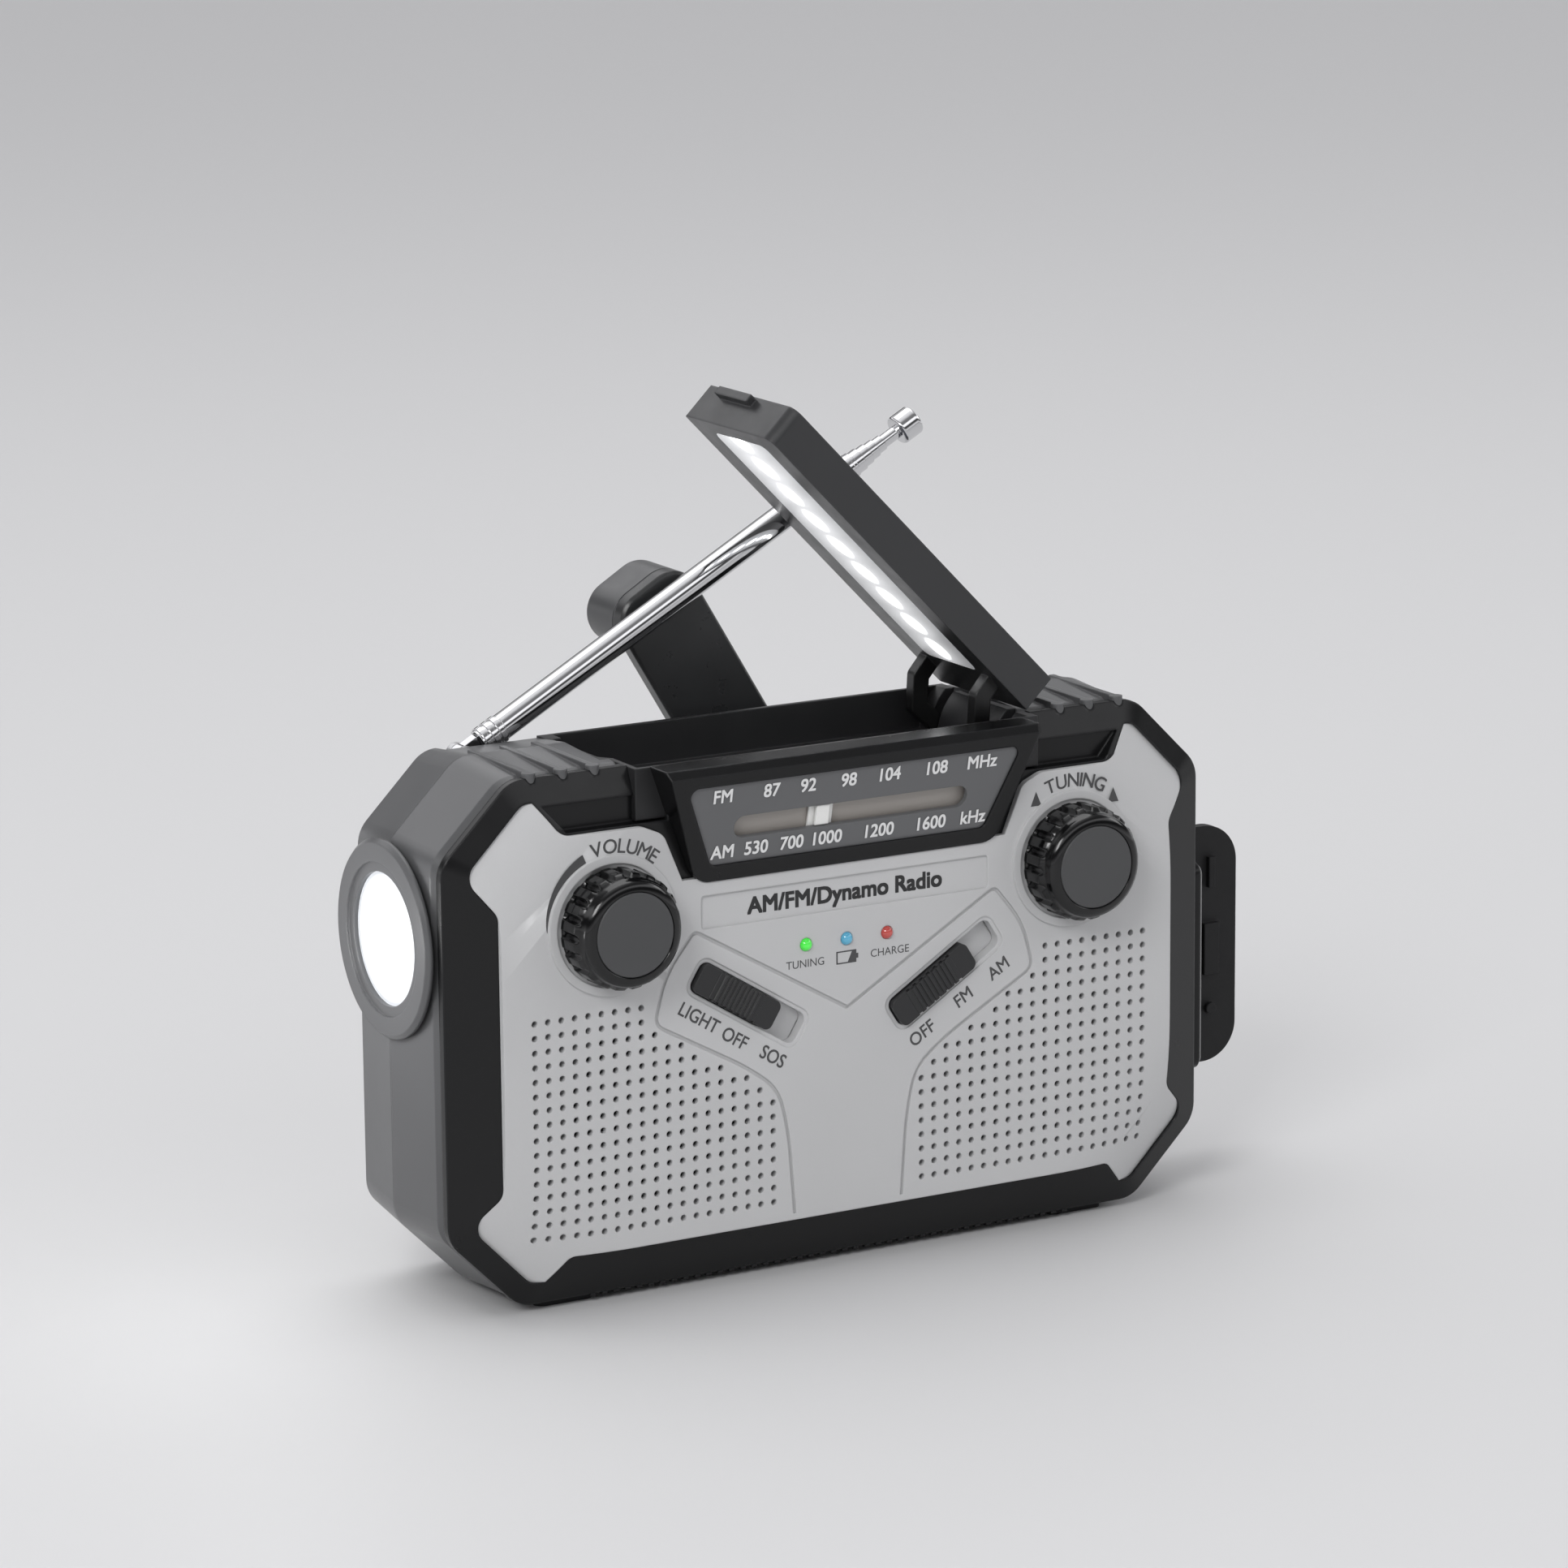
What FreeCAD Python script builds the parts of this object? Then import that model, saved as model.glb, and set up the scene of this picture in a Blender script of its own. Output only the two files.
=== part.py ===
import FreeCAD
import Part
import math
import os

# Emergency radio: AM/FM receiver with a hinged solar lid and reading lamp, a rear hand
# crank and gear train, a side flashlight, a telescopic antenna and a covered port panel.
# Millimetres. X is across the front, +Y goes from the front to the rear, +Z is up.
# The origin is on the ground plane, midway across and midway between front and rear.

# ---------------------------------------------------------------- driving dimensions
body_w = 192.0          # width at the widest side of the front frame
body_d = 52.0           # face plane to rear face
body_top = 119.0        # height of the flat top above the ground
foot_h = 2.0            # feet hold the case this high
corner_leg = 17.0       # leg of the 45 degree case corners
corner_r = 8.0          # rounding of the case corners
wall = 2.5              # case wall
gap = 0.3               # free gap between moving neighbours
fit = 0.05              # radial running clearance

frame_back = 8.5        # depth of the front frame
bevel_in = 11.0         # the frame's front slopes over this width
bevel_deep = 5.0        # and by this depth
crease_at = 31.0        # parting line between middle and rear shell
crease_out = 0.8        # the parting line stands this far outside

panel_t = 3.0           # light front panel
ear_deep = 4.8          # the panel's ears fall back by this much
ear_run = 21.0          # over this distance

bezel_top_half = 47.5   # half width of the dial bezel at the top
bezel_low_half = 38.0   # half width at the bottom
bezel_low = body_top - 26.5         # height of its lower edge
bezel_out = 6.0         # its top stands this far in front of the face
window_in = 3.4         # bezel border round the dial window
dial_slot_len = 59.0    # pointer slot in the dial
dial_slot_h = 5.2       # and its height

knob_x = body_w / 2.0 - 37.7        # volume and tuning knobs, left and right of centre
knob_z = body_top - 33.0
knob_r = 13.0
knob_out = 10.5
knob_flutes = 24
shaft_r = 3.0

switch_x = 25.0         # slide switches
switch_z = body_top - 55.0
switch_len = 30.6       # slot length
switch_w = 7.4          # slot width
switch_tilt = 32.0      # slots lean this much
slider_len = 22.4

led_pitch = 10.3
led_z = body_top - 43.8
led_r = 1.5

speaker_x = body_w / 4.0
speaker_z = foot_h + 40.0
speaker_r = 24.0

lid_x0 = -49.2          # closed lid, free end
lid_x1 = 44.5           # closed lid, hinge end
lid_y0 = 5.0            # depth of the lid's front edge behind the face plane
lid_y1 = body_d - 9.5    # and of its rear edge
lid_t = 9.0
lid_above = 0.4         # closed lid stands this far above the top
lid_open = 45.7         # opened by this angle
hinge_x = 58.4          # lid hinge axis
hinge_z = body_top - 10.3
hinge_pin_r = 1.5
arm_w = 4.0             # gooseneck arm
arm_t = 3.0

antenna_x = 26.6 - body_w / 2.0     # antenna tilt axis
antenna_y = body_d - 4.2
antenna_z = body_top - 3.6
antenna_tilt = 29.1
antenna_len = 132.7     # pivot to tip, closed
antenna_r = 3.1         # outer tube
antenna_wall = 0.3
antenna_steps = 5       # inner sections

crank_x = 18.3          # crank axis
crank_z = body_top - 35.4
crank_len = 67.0        # axis to handle axis
crank_w = 21.4
crank_t = 4.0
crank_lean = 31.0       # arm leans left of vertical
crank_gap = 1.2         # arm to rear face
handle_short = 14.4
handle_len = 13.6

gear_mod = 0.8
crank_teeth = 48
small_teeth = 12
wheel_teeth = 40
rotor_teeth = 10
gear_face = 4.0

torch_y = 31.0          # flashlight axis, depth behind the face plane
torch_z = body_top - 37.5
torch_r = 22.0

port_y0 = 8.0           # raised port panel
port_y1 = 36.0
port_z0 = body_top - 90.0
port_z1 = body_top - 41.0
port_out = 3.5
cover_h = 57.0          # rubber port cover
cover_w = 28.0
cover_t = 2.6
usb_z = body_top - 70.0
usb_y = 19.0

door_x = -12.0          # battery door centre
door_z = foot_h + 29.0
door_w = 74.0
door_h = 38.0
cell_r = 7.0
cell_len = 50.0

front = -body_d / 2.0
rear = body_d / 2.0
half = body_w / 2.0
V = FreeCAD.Vector
X = V(1, 0, 0)
Y = V(0, 1, 0)
Z = V(0, 0, 1)


# ---------------------------------------------------------------- helpers
def deep(d):
    """Y of a plane this far behind the face plane."""
    return front + d


def rounded_wire(points, radii, place):
    """Closed wire through 2D points with its corners rounded; place() maps (u, v) to 3D."""
    n = len(points)
    if not isinstance(radii, (list, tuple)):
        radii = [radii] * n
    ends = []
    for i in range(n):
        px, pz = points[i]
        ax, az = points[i - 1]
        bx, bz = points[(i + 1) % n]
        la = math.hypot(ax - px, az - pz)
        lb = math.hypot(bx - px, bz - pz)
        ua = ((ax - px) / la, (az - pz) / la)
        ub = ((bx - px) / lb, (bz - pz) / lb)
        dot = max(-1.0, min(1.0, ua[0] * ub[0] + ua[1] * ub[1]))
        turn = math.acos(dot)
        r = radii[i]
        if r <= 0.0 or turn > math.pi - 1e-6:
            ends.append(((px, pz), None, (px, pz)))
            continue
        t = r / math.tan(turn / 2.0)
        start = (px + ua[0] * t, pz + ua[1] * t)
        stop = (px + ub[0] * t, pz + ub[1] * t)
        bis = (ua[0] + ub[0], ua[1] + ub[1])
        lbis = math.hypot(bis[0], bis[1])
        reach = r / math.sin(turn / 2.0) - r
        mid = (px + bis[0] / lbis * reach, pz + bis[1] / lbis * reach)
        ends.append((start, mid, stop))
    edges = []
    for i in range(n):
        start, mid, stop = ends[i]
        if mid is not None:
            edges.append(Part.Arc(place(*start), place(*mid), place(*stop)).toShape())
        after = ends[(i + 1) % n][0]
        if math.hypot(after[0] - stop[0], after[1] - stop[1]) > 1e-6:
            edges.append(Part.makeLine(place(*stop), place(*after)))
    return Part.Wire(edges)


def plate_y(points, radii, y0, y1):
    wire = rounded_wire(points, radii, lambda u, v: V(u, y0, v))
    return Part.Face(wire).extrude(V(0, y1 - y0, 0))


def plate_x(points, radii, x0, x1):
    wire = rounded_wire(points, radii, lambda u, v: V(x0, u, v))
    return Part.Face(wire).extrude(V(x1 - x0, 0, 0))


def plate_z(points, radii, z0, z1):
    wire = rounded_wire(points, radii, lambda u, v: V(u, v, z0))
    return Part.Face(wire).extrude(V(0, 0, z1 - z0))


def block(x0, x1, y0, y1, z0, z1):
    return Part.makeBox(x1 - x0, y1 - y0, z1 - z0, V(x0, y0, z0))


def rod(p, axis, r, length):
    return Part.makeCylinder(r, length, p, axis)


def ring(p, axis, r_out, r_in, length):
    return rod(p, axis, r_out, length).cut(rod(p, axis, r_in, length))


def join(shapes):
    shapes = list(shapes)
    if len(shapes) == 1:
        return shapes[0]
    return shapes[0].fuse(shapes[1:]).removeSplitter()


def turned(shape, centre, axis, angle):
    s = shape.copy()
    s.rotate(centre, axis, angle)
    return s


def case_points(inset):
    """The case outline in X and Z, pulled in by a distance."""
    w = half - inset
    low = foot_h + inset
    top = body_top - inset
    leg = corner_leg - inset * (2.0 - math.sqrt(2.0))
    return [(-w, low + leg), (-w, top - leg), (-w + leg, top), (w - leg, top),
            (w, top - leg), (w, low + leg), (w - leg, low), (-w + leg, low)]


def case_wire(inset, y):
    r = max(corner_r - inset * 0.4, 1.0)
    return rounded_wire(case_points(inset), r, lambda u, v: V(u, y, v))


def case_prism(inset, y0, y1):
    return Part.Face(case_wire(inset, y0)).extrude(V(0, y1 - y0, 0))


def case_loft(in0, y0, in1, y1):
    return Part.makeLoft([case_wire(in0, y0), case_wire(in1, y1)], True, True)


def slab(points, y0, y1, r=0.0):
    return plate_y(points, r, y0, y1)


def gear(teeth, cx, cz, y0, face, phase, bore):
    """Spur gear on an axis along Y; phase is the angle of one tooth in degrees."""
    rp = gear_mod * teeth / 2.0
    ro = rp + 0.85 * gear_mod
    rr = rp - 1.15 * gear_mod
    step = 2.0 * math.pi / teeth
    pts = []
    for k in range(teeth):
        a = math.radians(phase) + k * step
        for side, share, r in ((-1, 0.26, rr), (-1, 0.105, ro), (1, 0.105, ro), (1, 0.26, rr)):
            pts.append((cx + r * math.cos(a + side * share * step),
                        cz + r * math.sin(a + side * share * step)))
    body = plate_y(pts, 0.0, y0, y0 + face)
    return body.cut(rod(V(cx, y0 - 1, cz), Y, bore, face + 2))


out = {}

# ---------------------------------------------------------------- lid tray and bezel outlines
tray_wall = 1.2
recess_x0 = lid_x0 - gap
recess_x1 = lid_x1 + gap
recess_y0 = deep(lid_y0 - 1.0)
recess_y1 = deep(lid_y1 + 0.4)
lid_top = body_top + lid_above
recess_z = lid_top - lid_t - 1.0
notch_x = recess_x0 - 2.2
notch_y0 = deep(18.0)
notch_y1 = deep(39.0)
# the lid's end swings outside this radius
swing_r = math.hypot(hinge_x - lid_x1, lid_top - lid_t - hinge_z) - gap
tray_x1 = hinge_x - 7.0
tray_outer = [(recess_x0 - tray_wall, recess_y0 - tray_wall),
              (tray_x1, recess_y0 - tray_wall),
              (tray_x1, recess_y1 + tray_wall),
              (notch_x - tray_wall, recess_y1 + tray_wall),
              (notch_x - tray_wall, notch_y0 - 2.0 - tray_wall),
              (recess_x0 - tray_wall, notch_y0 - 2.0 - tray_wall)]
tray_inner = [(recess_x0, recess_y0), (recess_x1, recess_y0), (recess_x1, recess_y1),
              (recess_x0, recess_y1), (recess_x0, notch_y1), (notch_x, notch_y1),
              (notch_x, notch_y0), (recess_x0, notch_y0 - 3.0)]
tray_solid = plate_z(tray_outer, 0.0, recess_z - 2.0, body_top + 5.0)

channel_r = antenna_r + 0.85
channel_end = half + 5.0     # open at the right, so that a drawn-out antenna folds too
channel = block(antenna_x - 6.0, channel_end, deep(antenna_y) - channel_r,
                rear + 5.0, antenna_z - channel_r - 0.4, body_top + 5.0)

bezel_pts = [(-bezel_low_half, bezel_low), (-bezel_top_half, body_top + 1.0),
             (bezel_top_half, body_top + 1.0), (bezel_low_half, bezel_low)]
bezel_r = [5.0, 0.0, 0.0, 5.0]

# ---------------------------------------------------------------- shells
torch_bore = rod(V(-half - 10, deep(torch_y), torch_z), X, torch_r - 3.0, 30)
mid_outer = join([case_loft(2.6, deep(frame_back), 0.3, deep(frame_back + 3.6)),
                  case_loft(0.3, deep(frame_back + 3.6), -crease_out, deep(crease_at))])
mid_inner = case_loft(wall + 2.6, deep(frame_back) - 0.01, wall, deep(crease_at) + 0.01)
mid_shell = mid_outer.cut(mid_inner)
rear_outer = join([case_loft(-crease_out, deep(crease_at), 1.2, rear - 3.2),
                   case_loft(1.2, rear - 3.2, 4.2, rear)])
rear_inner = case_loft(wall, deep(crease_at) - 0.01, wall + 1.4, rear - wall)
rear_shell = rear_outer.cut(rear_inner)

port_points = [(deep(port_y0), port_z0), (deep(port_y0), port_z1),
               (deep(port_y1), port_z1), (deep(port_y1), port_z0)]
hole_in = 4.5
hole_z0 = port_z0 + 1.8
hole_z1 = port_z1 - 1.8
hole_points = [(deep(port_y0 + hole_in), hole_z0), (deep(port_y0 + hole_in), hole_z1),
               (deep(port_y1 - hole_in), hole_z1), (deep(port_y1 - hole_in), hole_z0)]
port_hole = plate_x(hole_points, 2.0, half - 8.0, half + 10.0)

mid_shell = mid_shell.cut(tray_solid).cut(torch_bore).cut(port_hole)
rear_shell = rear_shell.cut(tray_solid).cut(torch_bore).cut(port_hole)

channel_wall = block(antenna_x - 6.0 - 1.6, channel_end + 1.6,
                     deep(antenna_y) - channel_r - 1.4, rear - 1.0,
                     antenna_z - channel_r - 2.2, body_top - 1.0)
rear_shell = rear_shell.fuse(channel_wall.common(rear_outer)).cut(channel).cut(tray_solid)

# ribs on the top of the case, three on each side
rib_pitch = 7.75
rib_first = 59.0
rib_y0 = deep(7.5)
rib_y1 = deep(34.5)
ribs = []
for k in range(3):
    for s in (-1, 1):
        x = s * (rib_first + k * rib_pitch) + 0.4
        ribs.append(block(x - 0.7, x + 0.7, rib_y0, rib_y1, body_top - 1.4, body_top + 0.95))
        ribs.append(rod(V(x, rib_y0, body_top - 1.4), Z, 1.5, 2.35))
rib_all = join(ribs)
rib_mid = rib_all.common(block(-200, 200, deep(0), deep(crease_at), 0, 300))
rib_rear = rib_all.common(block(-200, 200, deep(crease_at), rear, 0, 300))
mid_shell = mid_shell.fuse(rib_mid)
rear_shell = rear_shell.fuse(rib_rear)

# crank bearing, screw posts, battery bay and rear openings
bay = block(door_x - door_w / 2 + 3, door_x + door_w / 2 - 3, deep(crease_at + 3.0), rear + 5,
            door_z - door_h / 2 + 3, door_z + door_h / 2 - 3)
bay_walls = block(door_x - door_w / 2 + 1.2, door_x + door_w / 2 - 1.2, deep(crease_at + 1.2),
                  rear - 1.0, door_z - door_h / 2 + 1.2, door_z + door_h / 2 - 1.2)
door_seat = block(door_x - door_w / 2, door_x + door_w / 2, rear - 2.0, rear + 5,
                  door_z - door_h / 2, door_z + door_h / 2)
boss = rod(V(crank_x, rear - wall - 2.5, crank_z), Y, 9.0, wall + 2.4)
post_x = half - 22.0
post_low = foot_h + 18.0
post_high = body_top - 23.0
screw_spots = [(-post_x, post_low), (post_x, post_low), (-post_x, post_high), (post_x, post_high),
               (34.0, foot_h + 12.0)]
posts = []
post_bores = []
for (sx, sz) in screw_spots:
    posts.append(rod(V(sx, deep(crease_at), sz), Y, 4.2, rear - 1.0 - deep(crease_at)))
    post_bores.append(rod(V(sx, deep(crease_at) - 1, sz), Y, 1.6, body_d))
    post_bores.append(rod(V(sx, rear - 4.0, sz), Y, 3.1, 10.0))
rear_shell = rear_shell.fuse([bay_walls, boss] + posts)
rear_shell = rear_shell.cut(bay).cut(door_seat).cut(Part.makeCompound(post_bores))
rear_shell = rear_shell.cut(rod(V(crank_x, rear - 20, crank_z), Y, 5.0 + fit, 40))
vents = []
for k in range(6):
    vents.append(block(52.0, 76.0, rear - 5, rear + 5, 40.0 + 4.5 * k, 41.8 + 4.5 * k))
rear_shell = rear_shell.cut(Part.makeCompound(vents))

# anti-slip ribs under the case
under = []
for k in range(9):
    x = -48.0 + 12.0 * k
    under.append(block(x - 1.2, x + 1.2, deep(13.0), deep(29.0), foot_h - 1.0, foot_h + 1.0))
mid_shell = mid_shell.fuse(under)
mid_posts = []
mid_bores = []
for (sx, sz) in screw_spots:
    mid_posts.append(rod(V(sx, deep(12.0), sz), Y, 4.2, deep(crease_at) - deep(12.0)))
    mid_bores.append(rod(V(sx, deep(11.0), sz), Y, 1.35, body_d))
webs = []
for (sx, sz) in screw_spots:
    if sz < post_high:
        webs.append(block(sx - 1, sx + 1, deep(12.0), deep(crease_at), foot_h + 1.6, sz))
    else:
        webs.append(block(sx - 1, sx + 1, deep(12.0), deep(crease_at), sz, body_top - 1.6))
mid_shell = mid_shell.fuse(mid_posts + webs).cut(Part.makeCompound(mid_bores))
mid_shell = mid_shell.cut(tray_solid)

# ---------------------------------------------------------------- front frame and panel
frame = join([case_loft(bevel_in, deep(frame_back - 2.0 - bevel_deep), 0.0, deep(frame_back - 2.0)),
              case_prism(0.0, deep(frame_back - 2.0), deep(frame_back))])
frame = frame.cut(case_prism(wall + 3.1, deep(panel_t + 2.0), deep(frame_back) + 1))

ear = 4.4
ea = half - ear
ez1 = body_top - ear - 0.6
ez0 = foot_h + ear
side = half - bevel_in
cut_top = body_top - 12.4
ear_high = body_top - 19.5          # the ears' outer corners
ear_low = foot_h + 20.0
side_high = body_top - 28.0         # ends of the straight side edges
side_low = foot_h + 26.8
base = foot_h + 11.0                # straight lower edge
notch_in = half - 21.0              # where the upper and lower cut-outs begin
notch_out = half - 26.5
right_pts = [(bezel_low_half + 3.0, bezel_low + 1.0), (bezel_top_half - 2.0, cut_top - 2.2),
             (bezel_top_half + 3.0, cut_top), (notch_out, cut_top), (notch_in, ez1),
             (ea - 14.3, ez1), (ea, ear_high), (side, side_high), (side, side_low),
             (ea, ear_low), (ea - 14.3, ez0 + 1.0), (notch_in - 1.0, ez0 + 1.0), (notch_out - 0.5, base)]
panel_pts = [(-x, z) for (x, z) in reversed(right_pts)] + right_pts
right_r = [0, 4, 4, 4, 0.5, 4, 4, 4, 4, 4, 4, 0.5, 3]
panel_r = right_r[::-1] + right_r
panel_full = slab(panel_pts, deep(0), deep(6.6), panel_r)

# the ears fall back along a large radius
bend_r = ear_run * ear_run / (2.0 * ear_deep)
ear_cut = []
tips = []
for sx in (-1, 1):
    for sz, cz in ((1, ear_high), (-1, ear_low)):
        reach = (ea + sz * cz) / math.sqrt(2.0)
        start = reach - ear_run
        drum = rod(V(start, deep(bend_r), -150), Z, bend_r, 300)
        front_half = block(start, start + 34.0, deep(-12.0), deep(12.0), -120, 120)
        cutter = front_half.cut(drum)
        cutter.rotate(V(0, 0, 0), Y, -math.degrees(math.atan2(sz, sx)))
        ear_cut.append(cutter)
        zone = block(start + 9.0, start + 60.0, deep(-1.0), deep(20.0), -120, 120)
        zone.rotate(V(0, 0, 0), Y, -math.degrees(math.atan2(sz, sx)))
        tips.append(zone.common(panel_full))
ear_cutter = Part.makeCompound(ear_cut)
panel_low = panel_full.common(block(-200, 200, deep(-1), deep(panel_t), 0, 300))
panel = panel_low.fuse(tips)
frame = frame.cut(panel_low).cut(Part.makeCompound(tips))
panel = panel.cut(ear_cutter)

# recessed inlays above and below the panel
inlay_floor = 6.2
for s in (-1, 1):
    pts = [(s * (notch_in - 2.0), ez1 - 1.0), (s * (notch_out - 1.3), cut_top + 0.5),
           (s * (bezel_top_half - 4.0), cut_top + 0.5), (s * (bezel_top_half - 4.0), ez1 - 1.0)]
    frame = frame.cut(slab(pts, deep(-1), deep(inlay_floor - 1.6), 0.0))

# dial bezel: a wedge whose top stands forward
wedge_pts = [(deep(panel_t), bezel_low), (deep(0.0) - 0.4, bezel_low),
             (deep(-bezel_out), body_top - 1.8), (deep(-bezel_out + 1.6), body_top),
             (recess_y0 - tray_wall, body_top), (recess_y0 - tray_wall, bezel_low + 4.0),
             (deep(panel_t), bezel_low + 4.0)]
wedge = plate_x(wedge_pts, 0.0, -60, 60)
bezel = wedge.common(slab(bezel_pts, deep(-20), deep(20), bezel_r))
slope = math.degrees(math.atan2(bezel_out - 0.4, body_top - 1.8 - bezel_low))
slope_len = math.hypot(bezel_out - 0.4, body_top - 1.8 - bezel_low)


def on_dial(shape):
    """Place a shape built upright at the face plane onto the sloping dial front."""
    s = shape.copy()
    s.rotate(V(0, deep(0.0) - 0.4, bezel_low), X, slope)
    return s


b0 = bezel_low
win_pts = [(-bezel_low_half + window_in, b0 + 3.6), (-bezel_top_half + window_in + 1.8, b0 + slope_len - 2.6),
           (bezel_top_half - window_in - 1.8, b0 + slope_len - 2.6), (bezel_low_half - window_in, b0 + 3.6)]
yf = deep(0.0) - 0.4
win_hole = on_dial(slab(win_pts, yf - 5, yf + 1.8, 2.0))
scale_hole = on_dial(slab([(-33, b0 + 8), (-33, b0 + 16), (33, b0 + 16), (33, b0 + 8)], yf - 1, yf + 3.6))
bezel = bezel.cut(win_hole).cut(scale_hole)
slot_c = b0 + 12.0
slot_pts = [(-dial_slot_len / 2, slot_c - dial_slot_h / 2), (-dial_slot_len / 2, slot_c + dial_slot_h / 2),
            (dial_slot_len / 2, slot_c + dial_slot_h / 2), (dial_slot_len / 2, slot_c - dial_slot_h / 2)]
dial = slab(win_pts, yf + 0.6, yf + 1.8, 2.0)
dial = on_dial(dial.cut(slab(slot_pts, yf - 3, yf + 6, dial_slot_h / 2 - 0.05)))
pointer_x = -7.1
pointer = on_dial(block(pointer_x - 1.7, pointer_x + 1.7, yf + 1.0, yf + 1.7,
                        slot_c - dial_slot_h / 2 + 0.25, slot_c + dial_slot_h / 2 - 0.25)
                  .fuse(block(pointer_x - 3.0, pointer_x + 3.0, yf + 2.05, yf + 2.7,
                              slot_c - 3.4, slot_c + 3.4))
                  .fuse(block(pointer_x - 1.0, pointer_x + 1.0, yf + 1.6, yf + 2.2,
                              slot_c - 1.5, slot_c + 1.5)))
frame = frame.cut(slab(bezel_pts, deep(-20), deep(20), bezel_r).common(wedge))
frame = frame.cut(tray_solid).cut(rib_all)
panel = panel.cut(slab(bezel_pts, deep(-20), deep(20), bezel_r))

# openings for speakers, knob shafts, switches and indicator lamps
switch_pts = [(-switch_len / 2, -switch_w / 2), (-switch_len / 2, switch_w / 2),
              (switch_len / 2, switch_w / 2), (switch_len / 2, -switch_w / 2)]


def at_switch(shape, s):
    """Place a shape built about the origin at a switch; s is -1 for the left one."""
    t = shape.copy()
    t.rotate(V(0, 0, 0), Y, -s * switch_tilt)
    t.translate(V(s * switch_x, 0, switch_z))
    return t


for s in (-1, 1):
    slot = at_switch(slab(switch_pts, deep(-2), deep(20), 2.0), s)
    frame = frame.cut(at_switch(slab([(-19, -5.6), (-19, 5.6), (19, 5.6), (19, -5.6)], deep(panel_t - 0.1),
                                     deep(20), 1.0), s))
    panel = panel.cut(slot)
    shaft_hole = rod(V(s * knob_x, deep(-5), knob_z), Y, shaft_r + 1.0, 30)
    collar = ring(V(s * knob_x, deep(-0.8), knob_z), Y, knob_r + 2.6, knob_r + 0.7, 1.2)
    panel = panel.fuse(collar).cut(shaft_hole)
    frame = frame.cut(rod(V(s * knob_x, deep(panel_t), knob_z), Y, 4.0, 30))
    frame = frame.cut(rod(V(s * speaker_x, deep(panel_t), speaker_z), Y, speaker_r + gap, 30))
    panel = panel.cut(rod(V(s * speaker_x, deep(1.6), speaker_z), Y, speaker_r - 2.0, 30))
for k in (-1, 0, 1):
    led_hole = rod(V(k * led_pitch, deep(-2), led_z), Y, led_r + 0.02, 30)
    panel = panel.cut(led_hole)
    frame = frame.cut(rod(V(k * led_pitch, deep(-2), led_z), Y, led_r + 0.3, 30))
name_low = body_top - 37.0
name_high = body_top - 29.6
name_pts = [(-36.4, name_low), (-36.4, name_high), (36.4, name_high), (36.4, name_low)]
panel = panel.cut(slab(name_pts, deep(-1), deep(0.5), 0.8))

out["front_frame"] = frame
out["front_panel"] = panel
out["middle_shell"] = mid_shell
out["rear_shell"] = rear_shell
out["dial_bezel"] = bezel
out["dial_plate"] = dial
out["dial_pointer"] = pointer

# ---------------------------------------------------------------- lid tray and hinge
arm_ys = (deep(lid_y0 + 4.0), deep(lid_y1 - 4.0 - arm_t))
tray = tray_solid.common(block(-200, 200, -100, 100, 0, body_top - 0.2))
tray = tray.cut(plate_z(tray_inner, 0.0, recess_z, body_top + 10))
swing = block(recess_x1 - 1.0, tray_x1 + 1.0, recess_y0, recess_y1, lid_top - lid_t - gap, body_top + 10)
tray = tray.cut(swing.cut(rod(V(hinge_x, -60, hinge_z), Y, swing_r, 120)))
cheeks = []
for y in arm_ys:
    for cy in (y - gap - 2.0, y + arm_t + gap):
        pts = [(recess_x1 + 0.5, recess_z - 2.0), (recess_x1 + 0.5, recess_z + 3.0),
               (hinge_x, hinge_z + 4.0), (hinge_x + 4.0, hinge_z), (hinge_x, hinge_z - 4.0)]
        cheeks.append(plate_y(pts, [0, 0, 3, 3, 3], cy, cy + 2.0))
tray = tray.fuse(cheeks)
for y in arm_ys:
    tray = tray.cut(block(recess_x1 - 14.0, tray_x1 + 1.0, y - gap, y + arm_t + gap,
                          recess_z - 12.0, body_top + 1.0))
    slot_in = block(recess_x1 - 14.0, hinge_x + 6.0, y - gap, y + arm_t + gap,
                    recess_z - 14.0, body_top - 3.5)
    mid_shell = mid_shell.cut(slot_in)
tray = tray.cut(rod(V(hinge_x, -50, hinge_z), Y, hinge_pin_r, 100))
out["lid_tray"] = tray
pin_y0 = arm_ys[0] - gap - 2.0 - 0.6
pin_y1 = arm_ys[1] + arm_t + gap + 2.0 + 0.6
out["lid_hinge_pin"] = rod(V(hinge_x, pin_y0, hinge_z), Y, hinge_pin_r, pin_y1 - pin_y0)

lid_base = lid_top - lid_t
lid_plan = [(lid_x0, deep(lid_y0)), (lid_x1, deep(lid_y0)), (lid_x1, deep(lid_y1)), (lid_x0, deep(lid_y1))]
lid = plate_z(lid_plan, [2.6, 0.6, 0.6, 0.6], lid_base, lid_top)
solar_seat = plate_z([(lid_x0 + 5, deep(lid_y0 + 3.5)), (lid_x1 - 5, deep(lid_y0 + 3.5)),
                      (lid_x1 - 5, deep(lid_y1 - 3.5)), (lid_x0 + 5, deep(lid_y1 - 3.5))], 1.0,
                     lid_top - 2.0, lid_top + 5)
lamp_seat = plate_z([(lid_x0 + 4, deep(lid_y0 + 7.5)), (lid_x1 - 12, deep(lid_y0 + 7.5)),
                     (lid_x1 - 12, deep(lid_y1 - 8.0)), (lid_x0 + 4, deep(lid_y1 - 8.0))], 2.0,
                    lid_base - 5, lid_base + 5.5)
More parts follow.
